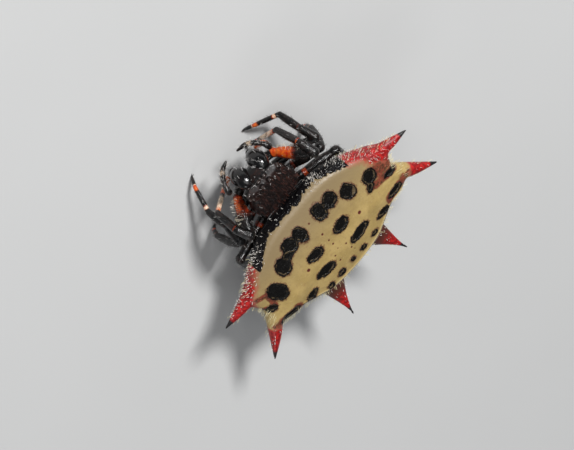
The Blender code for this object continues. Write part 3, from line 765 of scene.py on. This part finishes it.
places = read(shell)
normals = read(shell, "normal")
x, y, z = places.T
outward = np.stack([x, y, np.zeros(len(x))], axis=1)
outward /= np.linalg.norm(outward, axis=1)[:, None]
on_spine = step(redness, -0.05, 0.05) * (1 - step(spine_out, 0.80, 0.86))
front_edge = front * (1 - step(from_edge, 0.18, 0.42)) * step(z, SHIELD_Z - 0.5, SHIELD_Z)
facing_ahead = step(-normals[:, 1], -0.3, 0.4) * (y < 1.0)
white_growth = np.maximum(on_spine * (0.15 + 0.85 * facing_ahead),
                          front_edge * (0.16 + 0.84 * step(np.abs(x), 1.8, 3.2)))
# A bright tuft stands on the front edge over the root of the right fourth leg.
TUFT_X, TUFT_GROWTH = -1.62, 4.5
tuft = hump(x - TUFT_X, 0.34) * (1 - step(from_edge, 0.14, 0.34)) * (y < 0)
white_growth += TUFT_GROWTH * tuft * step(z, SHIELD_Z - 0.3, SHIELD_Z)
coat("white_bristles", shell, white_growth, outward * (1, 1, 0.6),
     hair_finish("white_bristle", (0.62, 0.55, 0.47), (0.90, 0.88, 0.84)), "abdomen_shell",
     Per_square_mm=60.0, Length=0.095, Thickness=0.021, Lean=0.15, Curl=0.2, Unruly=0.35, Seed=3)
rear_edge = step(y, -0.2, 0.2) * (spine_out < 0.3) * (1 - step(from_edge, 0.18, 0.26))
hem_growth = rear_edge * step(z, SHIELD_Z - 0.60, SHIELD_Z - 0.35)
on_flank = 1 - step(np.abs(normals[:, 2]), 0.45, 0.75)
hem_growth = np.maximum(hem_growth, 0.35 * on_spine * on_flank)
coat("hem_fringe", shell, hem_growth, outward,
     hair_finish("straw_bristle", (0.50, 0.42, 0.20), (0.86, 0.80, 0.52)), "abdomen_shell",
     Per_square_mm=60.0, Length=0.23, Thickness=0.014, Lean=0.72, Curl=0.1, Unruly=0.14, Seed=5)

# The head and thorax are one armoured box: a square, raised brow, a sloping thorax with a
# pit in it, the breast plate below with the mouth lobes, and the thin stalk to the abdomen.
# The cuticle is almost black, under short red-brown hair that lies backwards.
CARAPACE = [
    (-2.60, 0.98, 3.54, 3.10), (-2.74, 1.22, 3.70, 3.04), (-3.12, 1.35, 3.86, 3.01),
    (-3.55, 1.40, 3.98, 3.00), (-3.95, 1.27, 4.08, 3.00), (-4.25, 1.12, 4.17, 3.06),
    (-4.50, 1.09, 4.22, 3.50), (-4.72, 1.08, 4.18, 3.84), (-4.90, 1.00, 4.06, 3.86),
    (-5.02, 0.78, 3.98, 3.88)]
EYES = [(0.21, -5.00, 4.05, 0.100), (0.24, -4.72, 4.24, 0.095),
        (1.02, -4.80, 4.02, 0.085), (1.08, -4.62, 4.06, 0.085)]
# Forms on the middle line, from rear to front: place along the body, height and radius.
BREAST_PLATE = [(-2.62, 2.32, 0.20), (-2.78, 2.32, 0.36), (-3.1, 2.32, 0.48),
                (-3.5, 2.32, 0.50), (-3.9, 2.32, 0.46), (-4.2, 2.32, 0.36)]
CHEST = [(-2.85, 2.86, 0.50), (-3.4, 2.80, 0.86), (-4.1, 2.80, 0.86), (-4.5, 3.0, 0.62)]
HEAD = [(-4.2, 3.3, 0.72), (-4.62, 3.35, 0.80)]
STALK = [(-2.80, 2.90, 0.26), (-2.26, 2.66, 0.17), (-2.05, 2.60, 0.20), (-1.82, 2.60, 0.18)]
MOUTH_LOBE = [(0.12, -4.0, 2.2), (0.34, -4.46, 1.98), (0.62, -4.80, 1.84)]
# A ring's section: where it is widest, and how square its sides, top and foot are.
RING_POINTS, WIDEST = 72, 0.42
SIDE_CURVE, TOP_CURVE, LOW_CURVE = 0.85, 0.8, 0.55
PIT_Y, PIT_DEPTH = -3.35, 0.07
FURROW_ANGLES, FURROW_DEPTH = (35, 75, 115, 150), 0.035
HEAD_GROOVE_Y, BROW_ROW_Y, RIM_Z = -4.0, -4.52, 3.22
BODY_GRAIN = 0.038


def carapace_rings():
    rings = []
    angles = np.linspace(0, 2 * np.pi, RING_POINTS, endpoint=False)
    rise, reach = np.sin(angles), np.cos(angles)
    for y, half_width, top, low in smooth_line(CARAPACE, 5):
        middle = low + (top - low) * WIDEST
        x = half_width * np.sign(reach) * np.abs(reach) ** SIDE_CURVE
        z = np.where(rise >= 0, middle + (top - middle) * np.abs(rise) ** TOP_CURVE,
                     middle - (middle - low) * np.abs(rise) ** LOW_CURVE)
        rings.append(np.stack([x, np.full(RING_POINTS, y), z], axis=1))
    back, brow = CARAPACE[0], CARAPACE[-1]
    return skin_rings(rings, (0, back[0] + 0.06, (back[2] + back[3]) / 2),
                      (0, brow[0] - 0.05, (brow[2] + brow[3]) / 2))


def ball(centre, radius):
    low, high = (np.array(centre) + (0, 0, radius * shift) for shift in (-0.02, 0.02))
    return tube([low, high], [radius, radius], sides=16, cap=0.98)


def midline(rows, **section):
    return tube([(0, y, z) for y, z, _ in rows], [radius for *_, radius in rows], **section)


shapes = [carapace_rings(), midline(BREAST_PLATE, flat=0.6), midline(CHEST, sides=32, flat=0.62),
          midline(HEAD, sides=32, flat=0.9), midline(STALK)]
for side in (-1, 1):
    shapes.append(tube(np.array(MOUTH_LOBE) * (side, 1, 1), [0.19, 0.22, 0.19]))
    for x, y, z, radius in EYES:
        shapes.append(ball((x * side, y, z - 0.03), radius * 1.3))
thorax = one_skin(shapes, BODY_GRAIN)
relax(thorax, 4)
places = read(thorax)
normals = read(thorax, "normal")
x, y, z = places.T
on_top = step(z, 3.30, 3.60) * step(normals[:, 2], 0.1, 0.5)
# The pit, the furrows that run out from it and the groove that sets off the head.
dish = -PIT_DEPTH * hump(np.hypot(x / 0.10, (y - PIT_Y) / 0.22), 1.0)
for angle in np.radians(FURROW_ANGLES):
    for side in (-1, 1):
        ray = np.array((side * math.sin(angle), -math.cos(angle)))
        ahead = x * ray[0] + (y - PIT_Y) * ray[1]
        aside = x * ray[1] - (y - PIT_Y) * ray[0]
        dish -= FURROW_DEPTH * hump(aside, 0.07) * step(ahead, 0.15, 0.4) * (ahead < 1.2)
dish -= FURROW_DEPTH * hump(y - HEAD_GROOVE_Y + 0.30 * (np.abs(x) / 1.1) ** 2, 0.09)
write(thorax, places + normals * (dish * on_top)[:, None])
rim = hump(z - RIM_Z, 0.09) * step(y, -3.25, -2.95) * step(np.abs(x), 0.25, 0.4)
note(thorax, rim=rim, top=on_top)
unwrap(thorax)


def thorax_finish():
    """Near-black cuticle, browner on the thorax, with an orange sliver at the rear rim."""
    paint = Finish("thorax_cuticle")
    broad, fine = paint.noise(2.2), paint.noise(14.0, 4.0)
    brown = paint.mix(paint.rise(broad, 0.4, 0.65), (0.004, 0.003, 0.003), (0.012, 0.005, 0.004))
    brown = paint.mix(paint.rise(fine, 0.5, 0.7), brown, (0.040, 0.015, 0.009), 0.5)
    # Off the top the cuticle is painted near-black; on the face below the brow this is painted shade.
    brown = paint.mix(paint.noted("top"), (0.003, 0.0025, 0.0025), brown)
    colour = paint.mix(paint.rise(paint.noted("rim"), 0.45, 0.7), brown, (0.46, 0.085, 0.020))
    pits = paint.times(paint.cells(16.0), paint.noted("top"))
    grain = paint.scaled(pits, 0.4, paint.times(fine, 0.4))
    return paint.use(Base_Color=colour, Roughness=0.36, Specular_IOR_Level=0.28,
                     Normal=paint.bump(grain, 0.012))


finished("thorax_skin", thorax.copy(), thorax_finish(), "hairy_brown",
         "carapace", "sternum", "pedicel")
coat("thorax_hair", thorax, on_top * (0.5 + 0.5 * step(y, -4.9, -4.2)), (0.0, 1.0, 0.05),
     hair_finish("brown_hair", (0.006, 0.003, 0.003), (0.110, 0.034, 0.022), 0.4), "hairy_brown",
     Per_square_mm=150.0, Length=0.14, Thickness=0.015, Lean=0.72, Curl=0.12, Unruly=0.16, Seed=7)
brow_growth = 0.35 * step(-y, 4.35, 4.7) * step(z, 3.6, 3.8)
flank_growth = 0.3 * step(np.abs(x), 0.8, 1.1) * step(z, 3.2, 3.5) * step(-y, 2.9, 3.2)
brow_row = on_top * hump(y - BROW_ROW_Y, 0.06) * step(-np.abs(x), -1.1, -0.9)
brow_growth = np.maximum(np.maximum(brow_growth, flank_growth), 3.0 * brow_row)
coat("brow_bristles", thorax, brow_growth, (0.0, -0.6, 0.5),
     hair_finish("grey_bristle", (0.30, 0.27, 0.25), (0.85, 0.83, 0.80)), "hairy_brown",
     Per_square_mm=40.0, Length=0.15, Thickness=0.016, Lean=0.45, Curl=0.2, Unruly=0.35, Seed=9)

# Eight simple eyes sit on low knobs of the head: domes of clear, dark cuticle with a smooth,
# wet shine. Four look ahead and up from the middle, and a pair looks out at each side.


def eye_finish():
    paint = Finish("eye_lens")
    depth = paint.mix(paint.noise(8.0), (0.006, 0.004, 0.004), (0.030, 0.012, 0.006))
    return paint.use(Base_Color=depth, Roughness=0.06, Coat_Weight=1.0, Coat_Roughness=0.03)


head_surface = BVHTree.FromPolygons([v.co for v in thorax.vertices],
                                    [p.vertices for p in thorax.polygons])
lenses = []
for x, y, z, radius in EYES:
    for side in (-1, 1):
        spot, facing, _, _ = head_surface.find_nearest(Vector((x * side, y, z + 0.05)))
        lenses.append(ball(spot - facing * radius * 0.45, radius))
finished("eyes", joined(lenses), eye_finish(), "jaw_black")

# Two stout jaws hang below the brow, side by side. Each is a bulging, polished black barrel
# of cuticle that narrows downwards to a short, dark red hooked fang, folded in below it.
JAW_SIDE, JAW_WIDTH = 0.58, 0.45
JAW_LINE = [(-0.10, -4.76, 3.60, 0.62), (-0.02, -4.98, 3.38, 0.90), (0.0, -5.10, 3.12, 1.04),
            (0.0, -5.11, 2.86, 1.02), (-0.03, -5.08, 2.62, 0.86), (-0.08, -5.02, 2.44, 0.62)]
FANG_LINE = [(0.10, -5.02, 2.34), (0.02, -4.94, 2.16), (-0.20, -4.88, 2.10), (-0.38, -4.90, 2.20)]


def cuticle_finish(name, base, sheen, rough):
    """Glossy armour: one deep tone with a broken, warmer tone in it and fine pits."""
    paint = Finish(name)
    broad, fine = paint.noise(3.0), paint.noise(18.0, 4.0)
    tone = paint.mix(paint.rise(broad, 0.42, 0.66), base, sheen)
    gloss = paint.scaled(fine, 0.12, rough)
    return paint.use(Base_Color=tone, Roughness=gloss, Specular_IOR_Level=0.5,
                     Normal=paint.bump(fine, 0.008))


fangs = []
for side_name, side in SIDES.items():
    line = smooth_line(np.array(JAW_LINE) + (JAW_SIDE, 0, 0, 0), 4)
    jaw = one_skin([tube(line[:, :3] * (side, 1, 1), line[:, 3] * JAW_WIDTH, sides=36, cap=0.5)],
                   BODY_GRAIN)
    relax(jaw, 3)
    unwrap(jaw)
    finished(f"jaw_{side_name}", jaw.copy(),
             cuticle_finish(f"jaw_cuticle_{side_name}", (0.003, 0.003, 0.003),
                            (0.008, 0.006, 0.006), 0.03),
             "jaw_black", f"chelicera_{side_name}")
    places = read(jaw)
    growth = step(-places[:, 1], 4.9, 5.1) * (0.4 + 0.6 * step(-places[:, 2], -3.2, -2.6))
    coat(f"jaw_bristles_{side_name}", jaw, np.maximum(growth, 0.15), (0.0, -0.4, -1.0),
         hair_finish(f"jaw_bristle_{side_name}", (0.10, 0.08, 0.07), (0.80, 0.78, 0.76)),
         "jaw_black", Per_square_mm=20.0, Length=0.18, Thickness=0.016, Lean=0.40, Curl=0.2,
         Unruly=0.3, Seed=11 + side)
    fang_line = smooth_line((np.array(FANG_LINE) + (JAW_SIDE, 0, 0)) * (side, 1, 1), 5)
    fangs.append(tube(fang_line, np.linspace(0.10, 0.02, len(fang_line)), sides=12))
finished("fangs", joined(fangs), cuticle_finish("fang_cuticle", (0.050, 0.010, 0.006),
                                                (0.12, 0.03, 0.012), 0.10), "jaw_black")

# The feelers are two short limbs beside the jaws, black on an orange root, with bristles that
# thicken to a brush at the end. Each is one skin over its six joints, narrower at the bends.
PALPS = {
    "left": [(1.02, -4.86, 1.98), (1.36, -4.94, 2.30), (1.44, -4.94, 2.72), (1.48, -5.16, 3.12),
             (1.36, -5.50, 2.94), (0.96, -5.76, 2.48), (0.46, -5.78, 2.18)],
    "right": [(1.02, -4.86, 1.98), (1.36, -4.94, 2.30), (1.44, -4.94, 2.74), (1.42, -5.16, 3.15),
              (1.30, -5.50, 2.98), (0.86, -5.80, 2.56), (0.28, -5.82, 2.34)]}
PALP_THICKNESS = [0.15, 0.15, 0.16, 0.15, 0.125, 0.135, 0.06]
LIMB_GRAIN = 0.030


def even(line, count):
    """The same line with its points spread evenly."""
    gone = np.concatenate([[0], np.cumsum(np.linalg.norm(np.diff(line, axis=0), axis=1))])
    wanted = np.linspace(0, gone[-1], count)
    return np.stack([np.interp(wanted, gone, line[:, k]) for k in range(3)], axis=1)


def limb_finish(name, flame, glow):
    """Black, polished limb cuticle that turns orange and cream where its notes say."""
    paint = Finish(name)
    broad, fine = paint.noise(3.5), paint.noise(20.0, 4.0)
    black = paint.mix(paint.rise(broad, 0.42, 0.66), (0.003, 0.003, 0.003), (0.012, 0.008, 0.007))
    ragged = paint.scaled(fine, 0.6, -0.3)
    mottled = paint.scaled(paint.noise(5.0), 0.7, -0.35)
    orange = paint.mix(paint.rise(paint.noise(4.0), 0.35, 0.65), flame, glow)
    warm = paint.plus(paint.plus(paint.noted("warm"), ragged), mottled)
    pale = paint.plus(paint.plus(paint.noted("pale"), ragged), mottled)
    colour = paint.mix(paint.rise(warm, 0.10, 0.50), black, (0.085, 0.012, 0.005))
    colour = paint.mix(paint.rise(warm, 0.35, 0.85), colour, orange)
    colour = paint.mix(paint.rise(pale, 0.30, 0.70), colour, (0.66, 0.50, 0.36))
    gloss = paint.scaled(fine, 0.16, 0.08)
    return paint.use(Base_Color=colour, Roughness=gloss, Specular_IOR_Level=0.4,
                     Normal=paint.bump(fine, 0.02))


def lie_along(line, out):
    """The way of the line beside each place, from how far along the line it is."""
    return headings(line)[np.clip((out * len(line)).astype(int), 0, len(line) - 1)]


palp_paint = limb_finish("palp_cuticle", (0.34, 0.050, 0.012), (0.52, 0.150, 0.040))
palp_hair = hair_finish("palp_bristle", (0.16, 0.13, 0.11), (0.82, 0.80, 0.77))
for name, joints in PALPS.items():
    side = SIDES[name]
    line = smooth_line(np.array(joints) * (side, 1, 1), 5)
    widths = smooth_line([(w, 0) for w in PALP_THICKNESS], 5)[:, 0]
    waist = 1 - 0.16 * np.cos(np.arange(len(line)) / 5 * 2 * np.pi)
    palp = one_skin([tube(line, widths * (0.5 + 0.5 * waist), sides=20)], LIMB_GRAIN)
    relax(palp, 2)
    places = read(palp)
    out, _ = along_line(places, line)
    note(palp, warm=1 - step(out, 0.14, 0.34), pale=0.45 * hump(out - 0.78, 0.08))
    unwrap(palp)
    finished(f"palp_{name}", palp.copy(), palp_paint, "jaw_black",
             f"palp_{name}_arm", f"palp_{name}_tarsus")
    coat(f"palp_bristles_{name}", palp, 0.25 + 0.75 * step(out, 0.4, 0.75),
         lie_along(line, out), palp_hair, "jaw_black", Per_square_mm=90.0, Length=0.17,
         Thickness=0.012, Lean=0.35, Curl=0.15, Unruly=0.25, Seed=13 + side)

# Eight legs, folded as the resting spider holds them. Each is one skin over its seven joints:
# polished black cuticle with orange and cream rings at the joints, flame red at the root of the
# front pair's thighs. They taper to a fine foot with two claws.
LEGS = {
    ("left", 1): [(0.82, -4.24, 2.30), (1.38, -4.10, 2.54), (2.37, -3.34, 4.20),
                  (2.60, -3.94, 4.00), (2.62, -4.55, 2.75), (1.65, -3.91, 1.20), (1.10, -3.49, 0.0)],
    ("left", 2): [(0.86, -3.46, 2.30), (1.68, -3.34, 2.38), (2.91, -2.92, 3.45),
                  (2.80, -3.55, 2.86), (2.87, -4.17, 1.70), (2.39, -4.99, 0.70), (2.08, -5.08, 0.0)],
    ("left", 3): [(0.86, -2.64, 2.22), (1.52, -2.56, 2.24), (3.02, -2.42, 2.70),
                  (3.30, -2.44, 2.28), (3.48, -2.42, 1.25), (3.40, -2.20, 0.55), (3.20, -2.00, 0.0)],
    ("left", 4): [(0.84, -1.86, 2.16), (1.36, -1.80, 2.26), (3.56, -1.46, 2.60),
                  (3.60, -0.72, 2.30), (3.62, 0.90, 1.34), (3.00, 2.26, 0.58), (2.64, 2.78, 0.0)],
    ("right", 1): [(0.82, -4.24, 2.30), (1.33, -4.20, 2.46), (2.61, -3.76, 4.30),
                   (2.53, -4.38, 3.82), (2.27, -4.74, 2.20), (1.21, -4.09, 0.80), (0.71, -3.79, 0.0)],
    ("right", 2): [(0.86, -3.46, 2.30), (1.68, -3.32, 2.36), (3.20, -3.30, 3.05),
                   (3.08, -3.88, 2.50), (2.94, -4.63, 1.46), (1.78, -4.66, 0.62), (1.22, -4.53, 0.0)],
    ("right", 3): [(0.86, -2.64, 2.22), (1.52, -2.56, 2.24), (2.98, -2.60, 2.96),
                   (3.27, -2.60, 2.55), (3.50, -2.50, 1.40), (3.42, -2.18, 0.60), (3.24, -1.96, 0.0)],
    ("right", 4): [(0.84, -1.86, 2.16), (1.36, -1.80, 2.26), (3.40, -1.38, 2.58),
                   (3.52, -0.64, 2.28), (3.70, 0.98, 1.34), (3.16, 2.36, 0.58), (2.84, 2.90, 0.0)]}
# Radii at the start, middle and end of each joint of a leg.
GIRTHS = {"hip": (0.22, 0.25, 0.23), "collar": (0.21, 0.24, 0.22), "thigh": (0.22, 0.29, 0.22),
          "knee": (0.22, 0.255, 0.215), "shin": (0.180, 0.200, 0.155),
          "instep": (0.120, 0.125, 0.105), "foot": (0.095, 0.090, 0.045)}
FRONT_GIRTHS = dict(GIRTHS, thigh=(0.27, 0.32, 0.24))
# Where a joint is orange, and where cream: share along it and how far that spreads.
WARM = {"collar": [(0.9, 0.30)], "thigh": [(0.0, 0.05)], "shin": [(0.03, 0.09)],
        "instep": [(0.04, 0.20), (1.0, 0.14)], "foot": [(0.0, 0.18)]}
PALE = {"instep": [(0.16, 0.08)], "foot": [(0.12, 0.08)]}
FRONT_WARM = dict(WARM, collar=[(0.9, 0.9)], thigh=[(0.0, 0.50)],
                  instep=[(0.05, 0.34), (1.0, 0.16)])
FRONT_PALE = {"instep": [(0.42, 0.38)], "foot": [(0.14, 0.12)]}
# The left front leg's collar and thigh glow less than the right's: painted shade on that side.
DULL_RING, DULL_COLLAR, LEFT_THIGH_SHADE, CREAM = 0.62, 0.44, 0.54, 0.62
THIGH_OUTSIDE = (0.75, -0.55, 0.10)
LEG_BULGE = 0.12
HIP_SUNK, HIP_SHORT, COLLAR_BACK = 0.35, 0.12, 0.06
KNEE_OUT = (0.03, 0.04)  # how far the knee stands out at its turn and past it
TIP_LIFT = 0.03
# Along a claw, from its root: how far ahead, aside and up from the foot's tip.
CLAW = [(0.0, 0.02, 0.045), (0.06, 0.035, 0.065), (0.11, 0.05, 0.025)]
# Points on the thigh's line: how many, the collar's last and the thigh's own; the shin's first.
THIGH_POINTS, COLLAR_END, THIGH_START, THIGH_END, SHIN_START = 60, 22, 20, 54, 10


def unit(vector):
    return vector / np.linalg.norm(vector)


def leg_lines(side, joints):
    """The middle line of each joint; the knee is the stout turn between thigh and shin."""
    hip, hinge, knee, shank, ankle, heel, tip = np.array(joints) * (side, 1, 1)
    thigh = even(smooth_line([hip, hinge, (hinge + knee) / 2, knee], 8), THIGH_POINTS)
    shin = smooth_line([knee, shank, (shank + ankle) / 2, ankle], 10)
    outward = unit(unit(knee - hinge) - unit(shank - knee))
    turn = knee + outward * KNEE_OUT[0]
    past_turn = (turn + shin[SHIN_START // 2]) / 2 + outward * KNEE_OUT[1]
    way = unit(hinge - hip)
    return {"hip": np.array([hip - way * HIP_SUNK, hip, hinge - way * HIP_SHORT]),
            "collar": np.array([hinge - way * COLLAR_BACK, hinge, thigh[COLLAR_END]]),
            "thigh": thigh[THIGH_START:THIGH_END + 1],
            "knee": smooth_line([thigh[THIGH_END], turn, past_turn, shin[SHIN_START]], 6),
            "shin": shin[SHIN_START:],
            "instep": smooth_line([ankle, ankle + (heel - ankle) * 0.5, heel], 5),
            "foot": smooth_line([heel, heel + (tip - heel) * 0.55, tip + (0, 0, TIP_LIFT)], 5)}


def rings(out, spots, fade):
    """1 at the spots along a joint, fading off past their spread."""
    share = np.zeros(len(out))
    for centre, spread in spots:
        share = np.maximum(share, 1 - step(np.abs(out - centre), spread * 0.5, spread * fade))
    return share


leg_paint = limb_finish("leg_cuticle", (0.40, 0.026, 0.006), (0.62, 0.120, 0.014))
leg_hair = hair_finish("leg_bristle", (0.020, 0.016, 0.014), (0.80, 0.77, 0.73), 0.22)
thigh_hair = hair_finish("thigh_bristle", (0.62, 0.50, 0.30), (0.92, 0.88, 0.80))
claws = []
for (side_name, number), joints in LEGS.items():
    side, front = SIDES[side_name], number == 1
    lines = leg_lines(side, joints)
    shapes = []
    for joint, line in lines.items():
        start, middle, end = (FRONT_GIRTHS if front else GIRTHS)[joint]
        share = np.linspace(0, 1, len(line))
        girth = np.interp(share, (0, 0.5, 1), (start, middle, end))
        bulge = np.sin(np.pi * share) - np.interp(share, (0, 0.5, 1), (0, 1, 0))
        girth += LEG_BULGE * middle * bulge
        shapes.append(tube(line, girth, sides=24, cap=0.7))
    leg = one_skin(shapes, LIMB_GRAIN)
    relax(leg, 2)
    places = read(leg)
    places[:, 2] = np.maximum(places[:, 2], 0.0)
    write(leg, places)
    nearest = np.full(len(places), FAR)
    warm, pale, on_thigh = np.zeros((3, len(places)))
    lie = np.zeros((len(places), 3))
    for joint, line in lines.items():
        out, far = along_line(places, line)
        far /= GIRTHS[joint][1]
        here = far < nearest
        nearest[here] = far[here]
        dulled = DULL_RING if joint == "shin" else 1.0
        if joint in ("collar", "thigh") and not front:
            dulled = DULL_COLLAR
        # Painted shade: the left front leg's orange collar and thigh are dimmed to a dark brick red.
        if joint in ("collar", "thigh") and (side_name, number) == ("left", 1):
            dulled = LEFT_THIGH_SHADE
        hot = rings(out, (FRONT_WARM if front else WARM).get(joint, []), 1.5)
        cream = rings(out, (FRONT_PALE if front else PALE).get(joint, []), 1.3)
        warm[here] = hot[here] * dulled
        pale[here] = cream[here] * CREAM
        on_thigh[here] = (joint == "thigh") * (out < 0.8)[here]
        lie[here] = lie_along(line, out)[here]
    note(leg, warm=warm, pale=pale)
    unwrap(leg)
    name = f"leg_{number}_{side_name}"
    finished(f"{name}_skin", leg.copy(), leg_paint, "leg_black",
             f"{name}_femur", f"{name}_tibia", f"{name}_foot")
    coat(f"{name}_bristles", leg, step(places[:, 2], 0.20, 0.4), lie, leg_hair, "leg_black",
         Per_square_mm=46.0, Length=0.12, Thickness=0.010, Lean=0.42, Curl=0.1, Unruly=0.25,
         Seed=20 + number * 2 + side)
    if front:
        outside = np.array(THIGH_OUTSIDE) * (side, 1, 1)
        coat(f"{name}_fringe", leg, on_thigh * step(read(leg, "normal") @ outside, 0.25, 0.65),
             outside, thigh_hair, "leg_black", Per_square_mm=70.0, Length=0.20,
             Thickness=0.013, Lean=0.45, Curl=0.1, Unruly=0.30, Seed=40 + side)
    heel, tip = np.array(joints[-2:]) * (side, 1, 1)
    ahead = (tip - heel) * (1, 1, 0)
    ahead = ahead / max(np.linalg.norm(ahead), 0.05)
    across = np.cross(ahead, (0, 0, 1))
    for turn in (-1, 1):
        hook = smooth_line([tip + ahead * forward + across * aside * turn + (0, 0, rise)
                            for forward, aside, rise in CLAW], 4)
        claws.append(tube(hook, np.linspace(0.020, 0.007, len(hook)), sides=8))
finished("claws", joined(claws), cuticle_finish("claw_cuticle", (0.010, 0.007, 0.006),
                                                (0.05, 0.02, 0.01), 0.15), "leg_black")

# The spinnerets: a low black collar at the point of the underside with six short, soft
# teats round it, leaning out, each rounded off in a pale pad. All are one skin.
COLLAR_TOP, COLLAR_FOOT = 1.16, 0.84
TEAT_COUNT, TEAT_LENGTH, TEAT_ROOT_Z = 6, 0.33, 0.88
shapes = [tube([(0, CONE_Y, COLLAR_TOP), (0, CONE_Y, COLLAR_FOOT)], [0.46, 0.40], sides=32,
               cap=0.2)]
for angle in np.radians(30 + 360 / TEAT_COUNT * np.arange(TEAT_COUNT)):
    spread = np.array((math.cos(angle), math.sin(angle), 0))
    root = np.array((0, CONE_Y, TEAT_ROOT_Z)) + spread * 0.2
    tip = root + spread * 0.05 + (0, 0, -TEAT_LENGTH)
    shapes.append(tube([root, (root + tip) / 2, tip], [0.14, 0.13, 0.09], sides=16))
teats = one_skin(shapes, LIMB_GRAIN)
relax(teats, 2)
heights = read(teats)[:, 2]
note(teats, warm=np.zeros(len(heights)), pale=1 - step(heights, 0.50, 0.62))
finished("spinnerets_skin", teats, limb_finish("spinneret_cuticle", (0.2, 0.08, 0.03),
                                               (0.3, 0.16, 0.08)), "soft_dark", "spinnerets")

# The stand-in for a museum's table: a plain pale floor under the spider, not part of it. Of the
# soft lamps the strongest shines from the front right, as the sun in the photo. The camera looks
# down from in front, turned on its side as the animal hung, from the distance of a long lens.
FLOOR_REACH = 0.6
CAMERA_PLACE = (0.369, -97.629, 117.423)
CAMERA_RIGHT = (-0.65261, 0.57889, 0.48776)
CAMERA_UP = (-0.75697, -0.49627, -0.42383)
FOCAL_PIXELS, PHOTO_WIDTH, SENSOR = 3083.2, 574, 36.0
LAMPS = {
    # name: direction from the spider, distance, size across, watts
    "sun_side": ((-0.52, -0.62, 0.80), 0.30, 0.055, 1.15),
    "sky": ((0.10, -0.55, 1.00), 0.35, 0.24, 0.32),
    "far_side": ((0.85, 0.35, 0.55), 0.35, 0.12, 0.16)}


def floor_finish():
    paint = Finish("pale_floor")
    tone = paint.mix(paint.noise(0.05), (0.46, 0.46, 0.455), (0.50, 0.50, 0.495))
    return paint.use(Base_Color=tone, Roughness=0.7)


floor_mesh = bpy.data.meshes.new("floor")
corners = [(a * FLOOR_REACH, b * FLOOR_REACH, 0) for a, b in ((-1, -1), (1, -1), (1, 1), (-1, 1))]
floor_mesh.from_pydata(corners, [], [(0, 1, 2, 3)])
floor_mesh.materials.append(floor_finish())
floor = placed("floor", floor_mesh)

for lamp_name, (direction, distance, across, watts) in LAMPS.items():
    lamp = bpy.data.lights.new(lamp_name, "AREA")
    lamp.shape = "DISK"
    lamp.size = across
    lamp.energy = watts
    holder = placed(lamp_name, lamp)
    holder.location = Vector(direction).normalized() * distance
    holder.rotation_euler = Vector(direction).to_track_quat("Z", "Y").to_euler()

room = bpy.data.worlds.new("studio")
room.use_nodes = True
room.node_tree.nodes["Background"].inputs["Color"].default_value = (0.86, 0.92, 1.0, 1.0)
room.node_tree.nodes["Background"].inputs["Strength"].default_value = 0.15
bpy.context.scene.world = room

right, up = Vector(CAMERA_RIGHT).normalized(), Vector(CAMERA_UP).normalized()
turn = Matrix((right, up, right.cross(up))).transposed()
camera_data = bpy.data.cameras.new("camera")
camera_data.sensor_width = SENSOR
camera_data.lens = FOCAL_PIXELS * SENSOR / PHOTO_WIDTH
camera_data.clip_start = 0.01
camera_data.clip_end = 5.0
camera = placed("camera", camera_data)
camera.matrix_world = Matrix.Translation(Vector(CAMERA_PLACE) * MM) @ turn.to_4x4()
bpy.context.scene.camera = camera
bpy.context.scene.view_settings.view_transform = "Standard"
